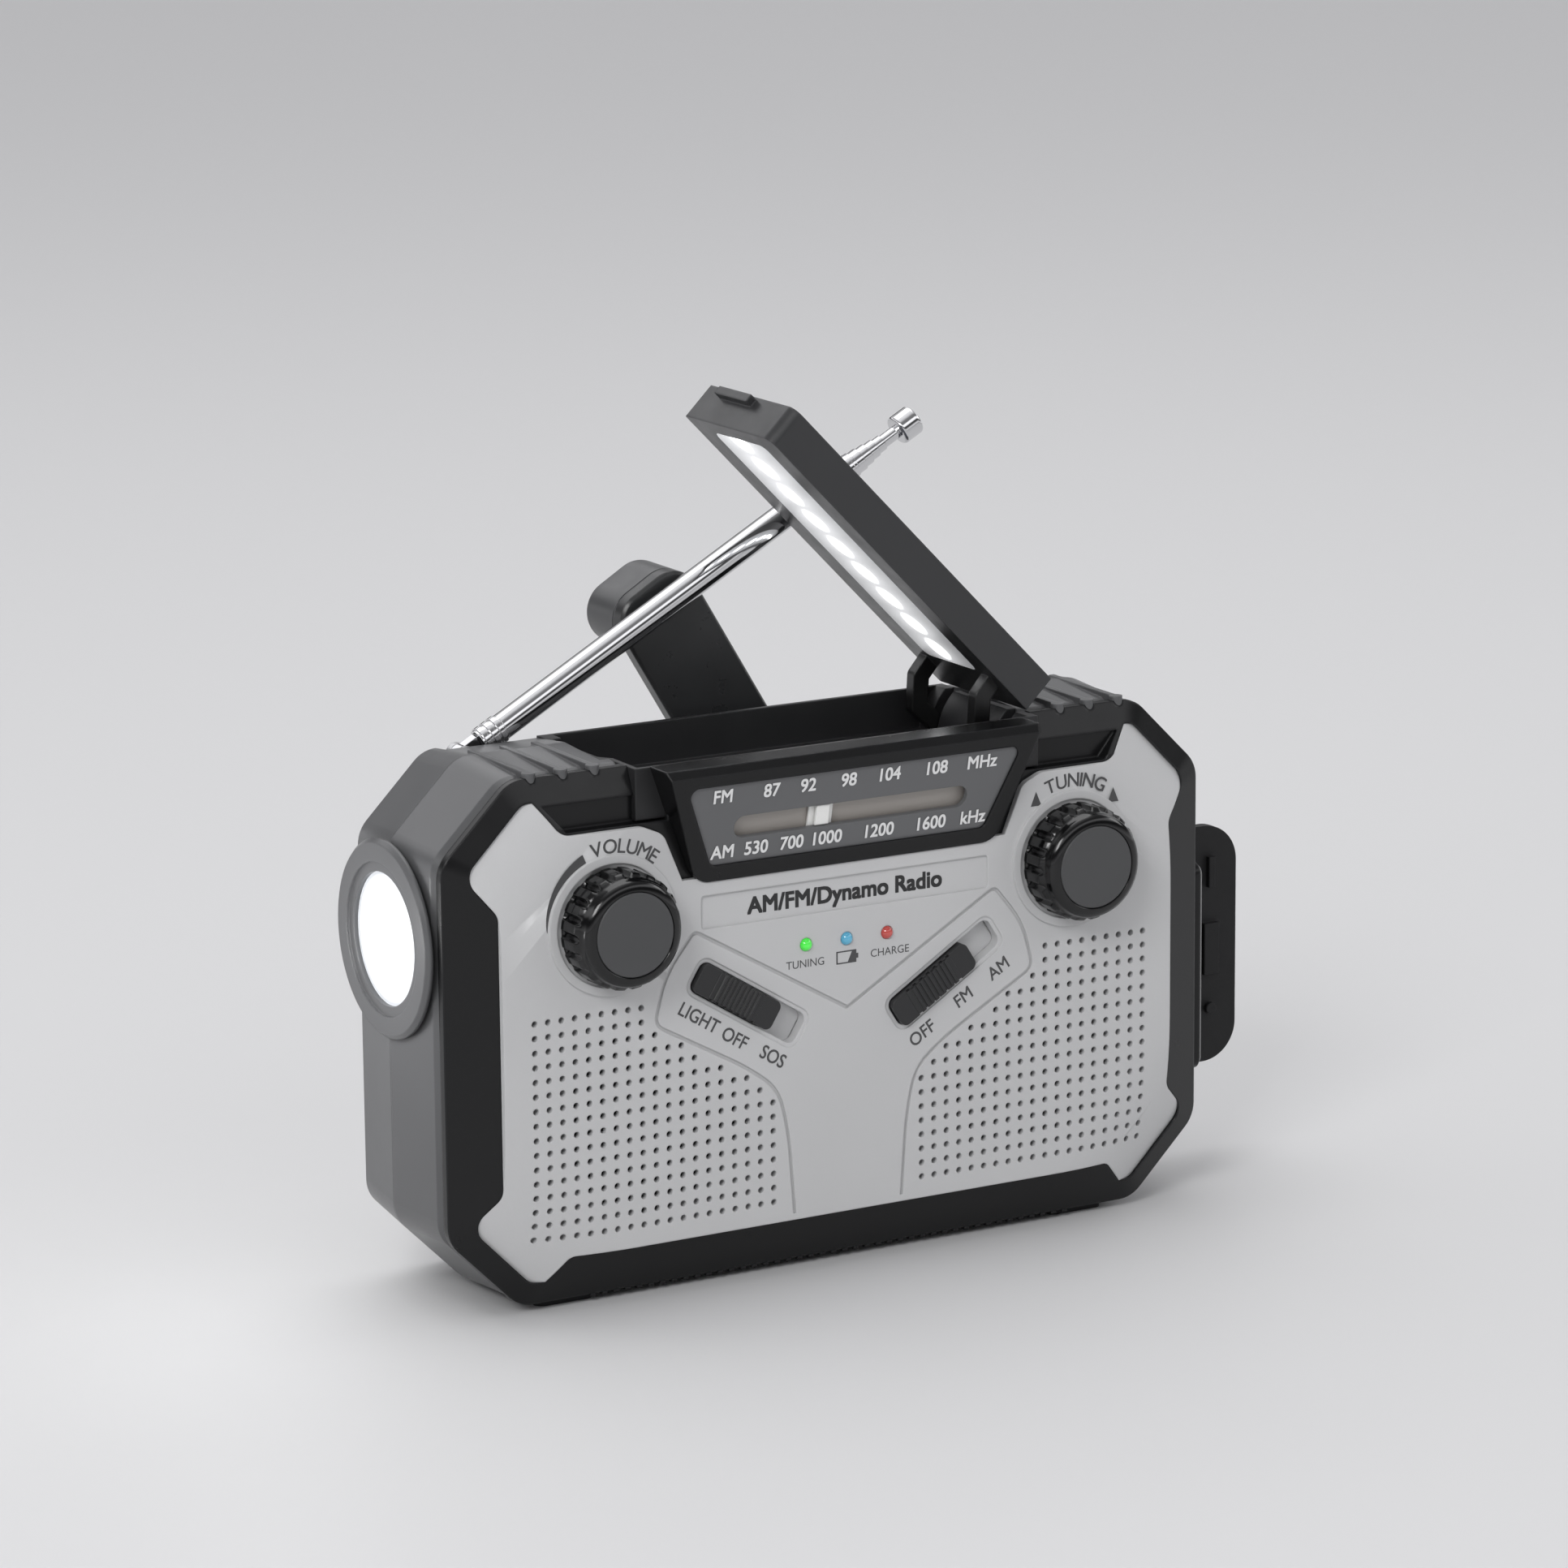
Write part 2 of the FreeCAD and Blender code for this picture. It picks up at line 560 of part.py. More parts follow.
arm_path = [(hinge_x, hinge_z), (hinge_x - 11.4, hinge_z - 7.2), (hinge_x - 17.9, hinge_z - 7.7),
            (hinge_x - 22.6, hinge_z - 2.5), (hinge_x - 23.2, lid_base + 2.0)]
arms = []
for y in arm_ys:
    bars = [rod(V(hinge_x, y, hinge_z), Y, 3.4, arm_t)]
    for k in range(len(arm_path) - 1):
        (x0, z0), (x1, z1) = arm_path[k], arm_path[k + 1]
        ln = math.hypot(x1 - x0, z1 - z0)
        bar = block(0, ln, y, y + arm_t, -arm_w / 2, arm_w / 2)
        bar.rotate(V(0, 0, 0), Y, -math.degrees(math.atan2(z1 - z0, x1 - x0)))
        bar.translate(V(x0, 0, z0))
        bars.append(bar)
        bars.append(rod(V(x1, y, z1), Y, arm_w / 2, arm_t))
    arms.append(join(bars).cut(rod(V(hinge_x, -50, hinge_z), Y, hinge_pin_r + fit, 100)))
lid = lid.cut(solar_seat).cut(lamp_seat).fuse(arms)
tab = block(lid_x0 - 1.9, lid_x0 + 1.0, deep(21.0), deep(35.0), lid_top - 2.6, lid_top - 0.6)
lid = lid.fuse(tab)
solar = plate_z([(lid_x0 + 5, deep(lid_y0 + 3.5)), (lid_x1 - 5, deep(lid_y0 + 3.5)),
                 (lid_x1 - 5, deep(lid_y1 - 3.5)), (lid_x0 + 5, deep(lid_y1 - 3.5))], 1.0,
                lid_top - 2.0, lid_top - 0.4)
diffuser = plate_z([(lid_x0 + 4, deep(lid_y0 + 7.5)), (lid_x1 - 12, deep(lid_y0 + 7.5)),
                    (lid_x1 - 12, deep(lid_y1 - 8.0)), (lid_x0 + 4, deep(lid_y1 - 8.0))], 2.0,
                   lid_base, lid_base + 1.6)
lamp_board = block(lid_x0 + 8, lid_x1 - 16, deep(lid_y0 + 10), deep(lid_y1 - 10.5),
                   lid_base + 4.3, lid_base + 5.5)
leds = []
for k in range(8):
    x = lid_x0 + 14 + 9.0 * k
    leds.append(block(x - 1.4, x + 1.4, deep(24.0) - 1.6, deep(24.0) + 1.6, lid_base + 3.1, lid_base + 4.3))


def opened(shape):
    return turned(shape, V(hinge_x, 0, hinge_z), Y, lid_open)


out["lid_housing"] = opened(lid)
out["solar_panel"] = opened(solar)
out["lamp_diffuser"] = opened(diffuser)
out["lamp_board"] = opened(lamp_board.fuse(leds))

# ---------------------------------------------------------------- knobs
for s, name in ((-1, "volume"), (1, "tuning")):
    kx = s * knob_x
    skirt = rod(V(kx, deep(-knob_out), knob_z), Y, knob_r, knob_out - 0.5)
    rim = [e for e in skirt.Edges if abs(e.BoundBox.YMax - deep(-knob_out)) < 0.01]
    skirt = skirt.makeChamfer(0.9, rim)
    grooves = []
    for k in range(knob_flutes):
        a = 2.0 * math.pi * (k + 0.5) / knob_flutes
        grooves.append(rod(V(kx + (knob_r + 0.25) * math.cos(a), deep(-knob_out + 2.2),
                             knob_z + (knob_r + 0.25) * math.sin(a)), Y, 0.75, knob_out))
    skirt = skirt.cut(Part.makeCompound(grooves))
    skirt = skirt.cut(rod(V(kx, deep(-knob_out) - 1, knob_z), Y, knob_r - 2.2, 2.2))
    skirt = skirt.cut(rod(V(kx, deep(-knob_out + 4.0), knob_z), Y, knob_r - 3.0, knob_out))
    hub = rod(V(kx, deep(-knob_out + 3.9), knob_z), Y, 5.2, knob_out - 3.9 - 0.5)
    skirt = skirt.fuse(hub)
    shaft = rod(V(kx, deep(-knob_out + 3.0), knob_z), Y, shaft_r, knob_out + 11.0)
    out[name + "_knob"] = skirt.fuse(shaft)
    out[name + "_cap"] = rod(V(kx, deep(-knob_out - 0.2), knob_z), Y, knob_r - 2.2, 1.4)

pot = block(-knob_x - 9, -knob_x + 9, deep(9.0), deep(17.0), knob_z - 8.5, knob_z + 8.5)
pot = pot.fuse(rod(V(-knob_x, deep(5.5), knob_z), Y, 3.9, 4.0))
out["volume_pot"] = pot.cut(rod(V(-knob_x, deep(0), knob_z), Y, shaft_r + fit, 14.0 + 0.3))
cap = block(knob_x - 10.5, knob_x + 10.5, deep(9.0), deep(24.0), knob_z - 10.5, knob_z + 9.5)
cap = cap.fuse(rod(V(knob_x, deep(5.5), knob_z), Y, 3.9, 4.0))
out["tuning_capacitor"] = cap.cut(rod(V(knob_x, deep(0), knob_z), Y, shaft_r + fit, 14.0 + 0.3))

# ---------------------------------------------------------------- slide switches
slide_w = switch_w - 2 * 0.25
housings = []
for s, name in ((-1, "light"), (1, "band")):
    start = -(switch_len - 2 * 0.25 - slider_len) / 2.0
    centre = start
    top_pts = [(-slider_len / 2, -slide_w / 2), (-slider_len / 2, slide_w / 2),
               (slider_len / 2, slide_w / 2), (slider_len / 2, -slide_w / 2)]
    button = slab(top_pts, deep(-1.2), deep(2.6), 1.6)
    notch = []
    for k in range(7):
        x = -6.0 + 2.0 * k
        notch.append(block(x - 0.45, x + 0.45, deep(-1.6), deep(-0.6), -10, 10))
    button = button.cut(Part.makeCompound(notch))
    flange = block(-slider_len / 2 - 2.0, slider_len / 2 + 2.0,
                   deep(panel_t + 0.25), deep(panel_t + 1.6), -5.2, 5.2)
    neck = block(-slider_len / 2 + 1, slider_len / 2 - 1, deep(2.4), deep(panel_t + 0.5), -3.0, 3.0)
    stem = block(-2.0, 2.0, deep(panel_t + 1.5), deep(panel_t + 4.4), -1.5, 1.5)
    button = button.fuse([flange, neck, stem])
    button.translate(V(centre, 0, 0))
    out[name + "_slider"] = at_switch(button, s)
    housing = block(-17.0, 17.0, deep(panel_t + 2.2), deep(panel_t + 8.0), -5.0, 5.0)
    housing = housing.cut(block(-14.0, 14.0, deep(panel_t + 2.0), deep(panel_t + 5.4), -2.2, 2.2))
    housings.append(at_switch(housing, s))
out["switch_bodies"] = Part.makeCompound(housings)

# ---------------------------------------------------------------- indicator lamps
for k, name in ((-1, "led_green"), (0, "led_blue"), (1, "led_red")):
    lens = rod(V(k * led_pitch, deep(0.4), led_z), Y, led_r, 5.0)
    dome = Part.makeSphere(led_r, V(k * led_pitch, deep(0.4), led_z))
    base = rod(V(k * led_pitch, deep(5.3), led_z), Y, led_r + 0.4, 0.8)
    out[name] = lens.fuse([dome, base])

# ---------------------------------------------------------------- circuit board, speakers, aerial rod
board_low = foot_h + 10.0
board_high = board_low + 67.0
board = block(-20.0, 20.0, deep(12.0), deep(13.6), board_low, board_high - 19.0)
board = board.fuse(block(-46.0, 46.0, deep(12.0), deep(13.6), board_high - 23.0, board_high))
chips = []
for (x, up, w, h) in ((-8.0, 18.0, 12.0, 12.0), (9.0, 33.0, 8.0, 10.0), (0.0, 58.0, 14.0, 7.0)):
    z = board_low + up
    chips.append(block(x - w / 2, x + w / 2, deep(13.6), deep(15.4), z - h / 2, z + h / 2))
out["main_board"] = board.fuse(chips)
speakers = []
for s in (-1, 1):
    c = V(s * speaker_x, deep(panel_t), speaker_z)
    basket = rod(c, Y, speaker_r, 2.4)
    cone = Part.makeCone(speaker_r - 2.0, 11.0, 8.5, V(c.x, c.y + 2.2, c.z), Y)
    magnet = rod(V(c.x, c.y + 10.4, c.z), Y, 13.0, 7.0)
    hollow = Part.makeCone(speaker_r - 4.0, 6.0, 7.0, V(c.x, c.y - 0.01, c.z), Y)
    dome = Part.makeSphere(8.0, V(c.x, c.y + 9.5, c.z)).common(rod(V(c.x, c.y + 1, c.z), Y, 8.0, 7.0))
    speakers.append(join([basket, cone, magnet]).cut(hollow).fuse(dome))
out["speakers"] = Part.makeCompound(speakers)
rod_z = foot_h + 58.0
out["ferrite_rod"] = rod(V(-30.0, deep(26.0), rod_z), X, 4.0, 60.0)
out["ferrite_coil"] = ring(V(-22.0, deep(26.0), rod_z), X, 5.2, 4.0, 18.0)

# ---------------------------------------------------------------- battery bay and door
cells = []
for k in range(2):
    cells.append(rod(V(door_x - cell_len / 2, deep(crease_at + 3.2) + cell_r, door_z - 7.6 + 15.2 * k), X,
                     cell_r, cell_len))
out["battery_cells"] = Part.makeCompound(cells)
dg = 0.25
door = block(door_x - door_w / 2 + dg, door_x + door_w / 2 - dg, rear - 2.0 + 0.05, rear,
             door_z - door_h / 2 + dg, door_z + door_h / 2 - dg)
for k in range(5):
    z = door_z + 6.0 + 2.0 * k
    door = door.cut(block(door_x - 10, door_x + 10, rear - 0.6, rear + 1, z - 0.45, z + 0.45))
out["battery_door"] = door

# ---------------------------------------------------------------- crank, gears, generator
arm_y0 = rear + crank_gap
w2 = crank_w / 2
hs = handle_short / 2
end_pts = [(-w2, -w2), (-w2, crank_len + hs), (w2, crank_len + hs), (w2, -w2)]
crank = slab(end_pts, arm_y0, arm_y0 + crank_t, [w2 - 0.01, hs - 0.01, hs - 0.01, w2 - 0.01])
crank = crank.cut(rod(V(0, 0, 0), Y, 4.2, 100))
rim_edges = []
for e in crank.Edges:
    b = e.BoundBox
    flat = abs(b.YMax - b.YMin) < 0.01
    outer = b.XMax - b.XMin > 8.5 or b.ZMax - b.ZMin > 8.5
    if flat and abs(b.YMin - arm_y0) < 0.01 and outer:
        rim_edges.append(e)
crank = crank.makeChamfer(0.6, rim_edges)


def at_crank(shape):
    s = shape.copy()
    s.rotate(V(0, 0, 0), Y, -crank_lean)
    s.translate(V(crank_x, 0, crank_z))
    return s


crank = crank.fuse(rod(V(0, arm_y0 + crank_t - 0.1, crank_len), Y, 3.0, handle_len - 2.8))
out["crank_arm"] = at_crank(crank)
shaft = rod(V(crank_x, rear - 14.0, crank_z), Y, 5.0, 14.0 + crank_gap)
shaft = shaft.fuse(rod(V(crank_x, rear + crank_gap - 0.1, crank_z), Y, 4.2, crank_t + 0.1))
out["crank_shaft"] = shaft
out["crank_screw"] = rod(V(crank_x, rear + crank_gap + crank_t, crank_z), Y, 6.0, 1.6).cut(
    block(crank_x - 3.4, crank_x + 3.4, rear + crank_gap + crank_t + 0.7, 100, crank_z - 0.5, crank_z + 0.5))
hy = arm_y0 + crank_t
handle_pts = [(-w2, -hs), (-w2, hs), (w2, hs), (w2, -hs)]
handle = slab(handle_pts, hy + gap, hy + handle_len, hs - 0.01)
handle.translate(V(0, 0, crank_len))
far_edges = []
for e in handle.Edges:
    b = e.BoundBox
    if abs(b.YMin - hy - handle_len) < 0.01 and abs(b.YMax - hy - handle_len) < 0.01:
        far_edges.append(e)
handle = handle.makeFillet(1.6, far_edges)
handle = handle.cut(rod(V(0, 0, crank_len), Y, 3.0 + fit, hy + handle_len - 2.4))
out["crank_handle"] = at_crank(handle)

gy0 = rear - 13.5
gy1 = gy0 - gear_face
mesh_gap = 0.08
d1 = gear_mod * (crank_teeth + small_teeth) / 2.0 + mesh_gap
d2 = gear_mod * (wheel_teeth + rotor_teeth) / 2.0 + mesh_gap
idler_x = crank_x - d1
rotor_x = idler_x - d2
out["crank_gear"] = gear(crank_teeth, crank_x, crank_z, gy0, gear_face, 180.0, 5.0)
small = gear(small_teeth, idler_x, crank_z, gy0 - 0.4, gear_face + 0.4, 180.0 / small_teeth, 2.0)
wheel = gear(wheel_teeth, idler_x, crank_z, gy1 - 0.4, gear_face, 180.0, 2.0)
out["idler_gear"] = small.fuse(wheel)
axle = rod(V(idler_x, gy1 - 3.0, crank_z), Y, 2.0 - fit, gear_face * 2 + 7.0)
rotor = gear(rotor_teeth, rotor_x, crank_z, gy1 - 0.4, gear_face, 180.0 / rotor_teeth, 1.0)
rotor = rotor.fuse(rod(V(rotor_x, gy1 - 8.0, crank_z), Y, 1.0, gear_face + 8.0))
out["rotor_pinion"] = rotor
gen = rod(V(rotor_x, gy1 - 17.0, crank_z), Y, 13.0, 14.0)
gen = gen.fuse(rod(V(rotor_x, gy1 - 3.0, crank_z), Y, 4.0, 1.0))
out["generator"] = gen.cut(rod(V(rotor_x, gy1 - 8.5, crank_z), Y, 1.0 + fit, 30))
plate = block(rotor_x - 16, crank_x + 8, gy1 - 3.0, gy1 - 1.6, crank_z - 9, crank_z + 9)
plate = plate.cut(rod(V(rotor_x, -50, crank_z), Y, 4.0, 100))
plate = plate.cut(rod(V(crank_x, -50, crank_z), Y, 5.0 + fit, 100))
out["gear_plate"] = plate.fuse(axle)

# ---------------------------------------------------------------- antenna
ant = V(antenna_x, deep(antenna_y), antenna_z)
foot_plate = block(antenna_x - 5.0, antenna_x + 5.0, ant.y - 3.2, ant.y + 3.2,
                   antenna_z - channel_r - 0.4, antenna_z - channel_r + 0.6)
ears = []
for s in (-1, 1):
    y0 = ant.y + (1.6 if s > 0 else -3.2)
    ears.append(block(antenna_x - 2.6, antenna_x + 2.6, y0, y0 + 1.6, antenna_z - channel_r, antenna_z))
    ears.append(rod(V(antenna_x, y0, antenna_z), Y, 2.6, 1.6))
out["antenna_bracket"] = foot_plate.fuse(ears + [rod(V(antenna_x, ant.y - 3.3, antenna_z), Y, 1.1, 6.6)])


def tilted(shape):
    return turned(shape, ant, Y, -antenna_tilt)


yoke = rod(V(antenna_x, ant.y - 1.35, antenna_z), Y, 2.6, 2.7)
yoke = yoke.fuse(block(antenna_x, antenna_x + 6.0, ant.y - 1.35, ant.y + 1.35,
                       antenna_z - 2.3, antenna_z + 2.3))
yoke = yoke.fuse(rod(V(antenna_x + 5.0, ant.y, antenna_z), X, antenna_r, 6.0))
for k in range(3):
    yoke = yoke.fuse(rod(V(antenna_x + 5.6 + 1.9 * k, ant.y, antenna_z), X, antenna_r + 0.3, 1.1))
yoke = yoke.cut(rod(V(antenna_x, -50, antenna_z), Y, 1.1 + fit, 100))
out["antenna_yoke"] = tilted(yoke)
step_x = 2.2
tip_len = 5.4
first_x = antenna_x + 11.0
last_x = antenna_x + antenna_len
tube_end = last_x - tip_len - step_x * (antenna_steps + 1)
tube = ring(V(first_x, ant.y, antenna_z), X, antenna_r, antenna_r - antenna_wall, tube_end - first_x)
tube = tube.cut(ring(V(tube_end - 0.9, ant.y, antenna_z), X, antenna_r + 1, antenna_r - 0.1, 2.0))
out["antenna_tube"] = tilted(tube)
r = antenna_r - antenna_wall - fit
end = tube_end
section_wall = 0.25
for k in range(antenna_steps):
    end = end + step_x
    start = first_x + 0.6 + 0.4 * k
    if k < antenna_steps - 1:
        piece = ring(V(start, ant.y, antenna_z), X, r, r - section_wall, end - start)
    else:
        piece = rod(V(start, ant.y, antenna_z), X, r, last_x - start)
        tip = rod(V(last_x - tip_len, ant.y, antenna_z), X, 3.5, tip_len)
        piece = piece.fuse(tip.makeFillet(0.8, [e for e in tip.Edges if e.Length > 15]))
    out["antenna_section_%d" % (k + 1)] = tilted(piece)
    r = r - section_wall - fit

# ---------------------------------------------------------------- flashlight
tc = V(-half - crease_out - 0.05, deep(torch_y), torch_z)
bez = rod(V(tc.x - 1.6, tc.y, tc.z), X, torch_r, 1.6)
bez = bez.makeChamfer(0.9, [e for e in bez.Edges if e.BoundBox.XMax < tc.x - 1.5])
bez = bez.fuse(rod(V(tc.x, tc.y, tc.z), X, torch_r - 3.05, 9.0))
bez = bez.cut(rod(V(tc.x - 3.0, tc.y, tc.z), X, torch_r - 5.0, 20))
lens_ring = ring(V(tc.x - 0.9, tc.y, tc.z), X, torch_r - 5.0, torch_r - 7.2, 2.6)
out["torch_bezel"] = bez.fuse(lens_ring)
out["torch_lens"] = rod(V(tc.x + 0.2, tc.y, tc.z), X, torch_r - 7.2, 1.4)
dish_out = Part.makeCone(torch_r - 5.1, 5.0, 12.0, V(tc.x + 1.8, tc.y, tc.z), X)
dish_in = Part.makeCone(torch_r - 6.4, 3.2, 11.0, V(tc.x + 1.7, tc.y, tc.z), X)
out["torch_reflector"] = dish_out.cut(dish_in)
out["torch_led"] = rod(V(tc.x + 10.5, tc.y, tc.z), X, 2.4, 2.2)

# ---------------------------------------------------------------- port panel, sockets and cover
face_x = half + port_out
pp = plate_x(port_points, 3.0, half - 5.0, face_x)
pp = pp.makeChamfer(1.0, [e for e in pp.Edges if e.BoundBox.XMin > face_x - 0.01])
pp = pp.cut(mid_outer).cut(rear_outer).cut(case_prism(0.0, deep(frame_back - 2.0), deep(frame_back)))
pp = pp.fuse(plate_x(hole_points, 2.0, half - 5.0, half + 1.0))
usb_hole = block(face_x - 12, face_x + 1, deep(usb_y) - 3.0, deep(usb_y) + 3.0, usb_z - 7.2, usb_z + 7.2)
mini_z = usb_z + 18.5
mini_hole = block(face_x - 12, face_x + 1, deep(usb_y) - 1.6, deep(usb_y) + 1.6, mini_z - 4.4, mini_z + 4.4)
jack_z = usb_z - 14.5
jack_hole = rod(V(face_x - 12, deep(usb_y), jack_z), X, 3.0, 13)
out["port_panel"] = pp.cut(usb_hole).cut(mini_hole).cut(jack_hole)
usb = block(face_x - 12, face_x - 0.3, deep(usb_y) - 3.0, deep(usb_y) + 3.0, usb_z - 7.2, usb_z + 7.2)
usb = usb.cut(block(face_x - 11, face_x + 1, deep(usb_y) - 2.5, deep(usb_y) + 2.5, usb_z - 6.7, usb_z + 6.7))
out["usb_shell"] = usb
out["usb_tongue"] = block(face_x - 11, face_x - 1.6, deep(usb_y) - 2.5, deep(usb_y) - 0.6,
                          usb_z - 5.4, usb_z + 5.4)
mini = block(face_x - 9, face_x - 0.3, deep(usb_y) - 1.6, deep(usb_y) + 1.6, mini_z - 4.4, mini_z + 4.4)
mini = mini.cut(block(face_x - 8, face_x + 1, deep(usb_y) - 1.2, deep(usb_y) + 1.2,
                      mini_z - 4.0, mini_z + 4.0))
out["charge_socket"] = mini.fuse(block(face_x - 8, face_x - 1.4, deep(usb_y) - 0.4, deep(usb_y) + 0.4,
                                       mini_z - 3.0, mini_z + 3.0))
out["phone_jack"] = ring(V(face_x - 10, deep(usb_y), jack_z), X, 3.0, 1.75, 9.7)

cz0 = (port_z0 + port_z1) / 2.0 - cover_h / 2.0 - 3.5
cover_x0 = face_x + gap + cover_t / 2.0         # hinge axis of the cover
cover_y = deep(port_y1 + 1.9)
cover_x1 = face_x + cover_w
cover_pts = [(cover_x0, cz0), (cover_x0, cz0 + cover_h), (cover_x1, cz0 + cover_h), (cover_x1, cz0)]
cover = plate_y(cover_pts, [0.0, 0.0, 9.0, 9.0], cover_y - cover_t / 2.0, cover_y + cover_t / 2.0)
cover = cover.fuse(rod(V(cover_x0, cover_y, cz0), Z, cover_t / 2.0, cover_h))
plug_x = cover_x0 + cover_y - deep(usb_y)
plug_y0 = cover_y - cover_t / 2.0 - 1.4
plug_y1 = cover_y - cover_t / 2.0 + 0.2
cover = cover.fuse(block(plug_x - 2.1, plug_x + 2.1, plug_y0, plug_y1, usb_z - 6.2, usb_z + 6.2))
cover = cover.fuse(block(plug_x - 0.9, plug_x + 0.9, plug_y0, plug_y1, mini_z - 3.7, mini_z + 3.7))
cover = cover.fuse(rod(V(plug_x, plug_y0, jack_z), Y, 1.4, 1.6))
pin_r = 0.65
pin_len = 2.0
lugs = []
for z_end, way in ((cz0, -1.0), (cz0 + cover_h, 1.0)):
    z_near = z_end + way * gap
    z_far = z_near + way * 2.4
    lugs.append(block(half - 1.6, cover_x0 + cover_t / 2.0, cover_y - cover_t / 2.0, cover_y + cover_t / 2.0,
                      min(z_near, z_far), max(z_near, z_far)))
    z_in = z_end - way * pin_len
    lugs.append(rod(V(cover_x0, cover_y, min(z_in, z_far)), Z, pin_r, abs(z_far - z_in)))
    cover = cover.cut(rod(V(cover_x0, cover_y, min(z_end, z_in) - 0.2), Z, pin_r + fit, pin_len + 0.4))
out["port_cover"] = cover
rear_shell = rear_shell.fuse(lugs)

# ---------------------------------------------------------------- feet and screws
feet = []
foot_l = 14.0
foot_d = 7.0
foot_places = ((-66.0, deep(13.0)), (66.0, deep(13.0)), (-66.0, rear - 10.0), (66.0, rear - 10.0),
               (0.0, 0.0))
for fx, fy in foot_places:
    pts = [(fx - foot_l / 2, fy - foot_d / 2), (fx + foot_l / 2, fy - foot_d / 2),
           (fx + foot_l / 2, fy + foot_d / 2), (fx - foot_l / 2, fy + foot_d / 2)]
    feet.append(plate_z(pts, 2.0, 0.0, foot_h + 1.6))
foot_all = Part.makeCompound(feet)
mid_shell = mid_shell.cut(foot_all)
rear_shell = rear_shell.cut(foot_all)
out["feet"] = foot_all
out["middle_shell"] = mid_shell
out["rear_shell"] = rear_shell
screws = []
for (sx, sz) in screw_spots:
    head = rod(V(sx, rear - 4.0, sz), Y, 3.0, 2.2)
    head = head.cut(block(sx - 0.4, sx + 0.4, rear - 2.8, rear, sz - 2.0, sz + 2.0))
    head = head.cut(block(sx - 2.0, sx + 2.0, rear - 2.8, rear, sz - 0.4, sz + 0.4))
    stem = rod(V(sx, deep(14.0), sz), Y, 1.35, rear - 4.0 - deep(14.0))
    screws.append(head.fuse(stem))
out["case_screws"] = Part.makeCompound(screws)

# ---------------------------------------------------------------- write the parts
os.makedirs("parts", exist_ok=True)
for name, shape in out.items():
    solids = shape.Solids
    if not shape.isValid():
        print("invalid:", name)
    if len(solids) != 1:
        print("solids in", name, len(solids), [round(s.Volume, 1) for s in solids])
    shape.exportStep("parts/%s.step" % name)
print(len(out), "nodes")
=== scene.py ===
"""Emergency radio: finishes, print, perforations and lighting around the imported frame."""

import math

import bmesh
import bpy
from mathutils import Matrix, Vector


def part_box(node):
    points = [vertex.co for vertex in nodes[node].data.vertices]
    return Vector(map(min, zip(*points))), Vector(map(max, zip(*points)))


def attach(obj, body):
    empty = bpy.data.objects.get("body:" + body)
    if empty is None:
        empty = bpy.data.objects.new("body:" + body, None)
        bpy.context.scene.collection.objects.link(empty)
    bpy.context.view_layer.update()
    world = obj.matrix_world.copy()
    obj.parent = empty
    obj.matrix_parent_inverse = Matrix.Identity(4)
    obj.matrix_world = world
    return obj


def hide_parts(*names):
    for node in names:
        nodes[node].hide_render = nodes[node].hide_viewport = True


MM = 0.001

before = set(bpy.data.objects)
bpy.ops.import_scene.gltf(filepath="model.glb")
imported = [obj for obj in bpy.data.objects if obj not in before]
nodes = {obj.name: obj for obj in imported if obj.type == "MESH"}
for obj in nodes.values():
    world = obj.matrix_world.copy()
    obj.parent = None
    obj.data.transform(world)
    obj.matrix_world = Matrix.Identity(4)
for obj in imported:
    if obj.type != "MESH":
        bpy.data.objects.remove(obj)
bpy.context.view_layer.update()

# Where things are on the radio, in millimetres of the shared frame.
FACE = -26.0                # plane of the light front panel
BEZEL_LOW = 92.5            # lower edge of the sloping dial
DIAL_SLOPE = math.atan2(5.6, 24.7)
DIAL_PIVOT = FACE - 0.4     # plane that the dial is tilted about, at its lower edge
DIAL_FRONT = FACE + 0.05    # printed face of the dial before it is tilted
KNOB = (58.3, 86.0)         # knob axis, right of centre and above ground
SWITCH = (25.0, 64.0)       # middle of the right-hand switch; the other one mirrors it
SWITCH_TILT = math.radians(32.0)
LID_AXIS = (58.4, 108.7)    # hinge line of the lid
LID_OPEN = math.radians(45.7)
LID_UNDERSIDE = 110.4       # height of the closed lid's underside
LID_END = 44.5              # its hinge end
TORCH_LENS_R = 14.8
LAMP_PITCH = 9.0            # reading lamps in the lid
LAMP_FIRST = 35.2 + LAMP_PITCH / 2.0
TORCH = (5.0, 81.5)         # depth and height of the flashlight axis
HOLE_PITCH = 3.25
HOLE_RADIUS = 0.72
INK_LIFT = 0.03             # lettering stands this far off its surface
BLACK = (0.0, 0.0, 0.0, 1.0)


def linked(name, data):
    """A new object in the scene for a mesh, a curve, a light or a camera."""
    obj = bpy.data.objects.new(name, data)
    bpy.context.scene.collection.objects.link(obj)
    return obj


def plain_mesh(bm, name):
    mesh = bpy.data.meshes.new(name)
    bm.to_mesh(mesh)
    bm.free()
    return mesh


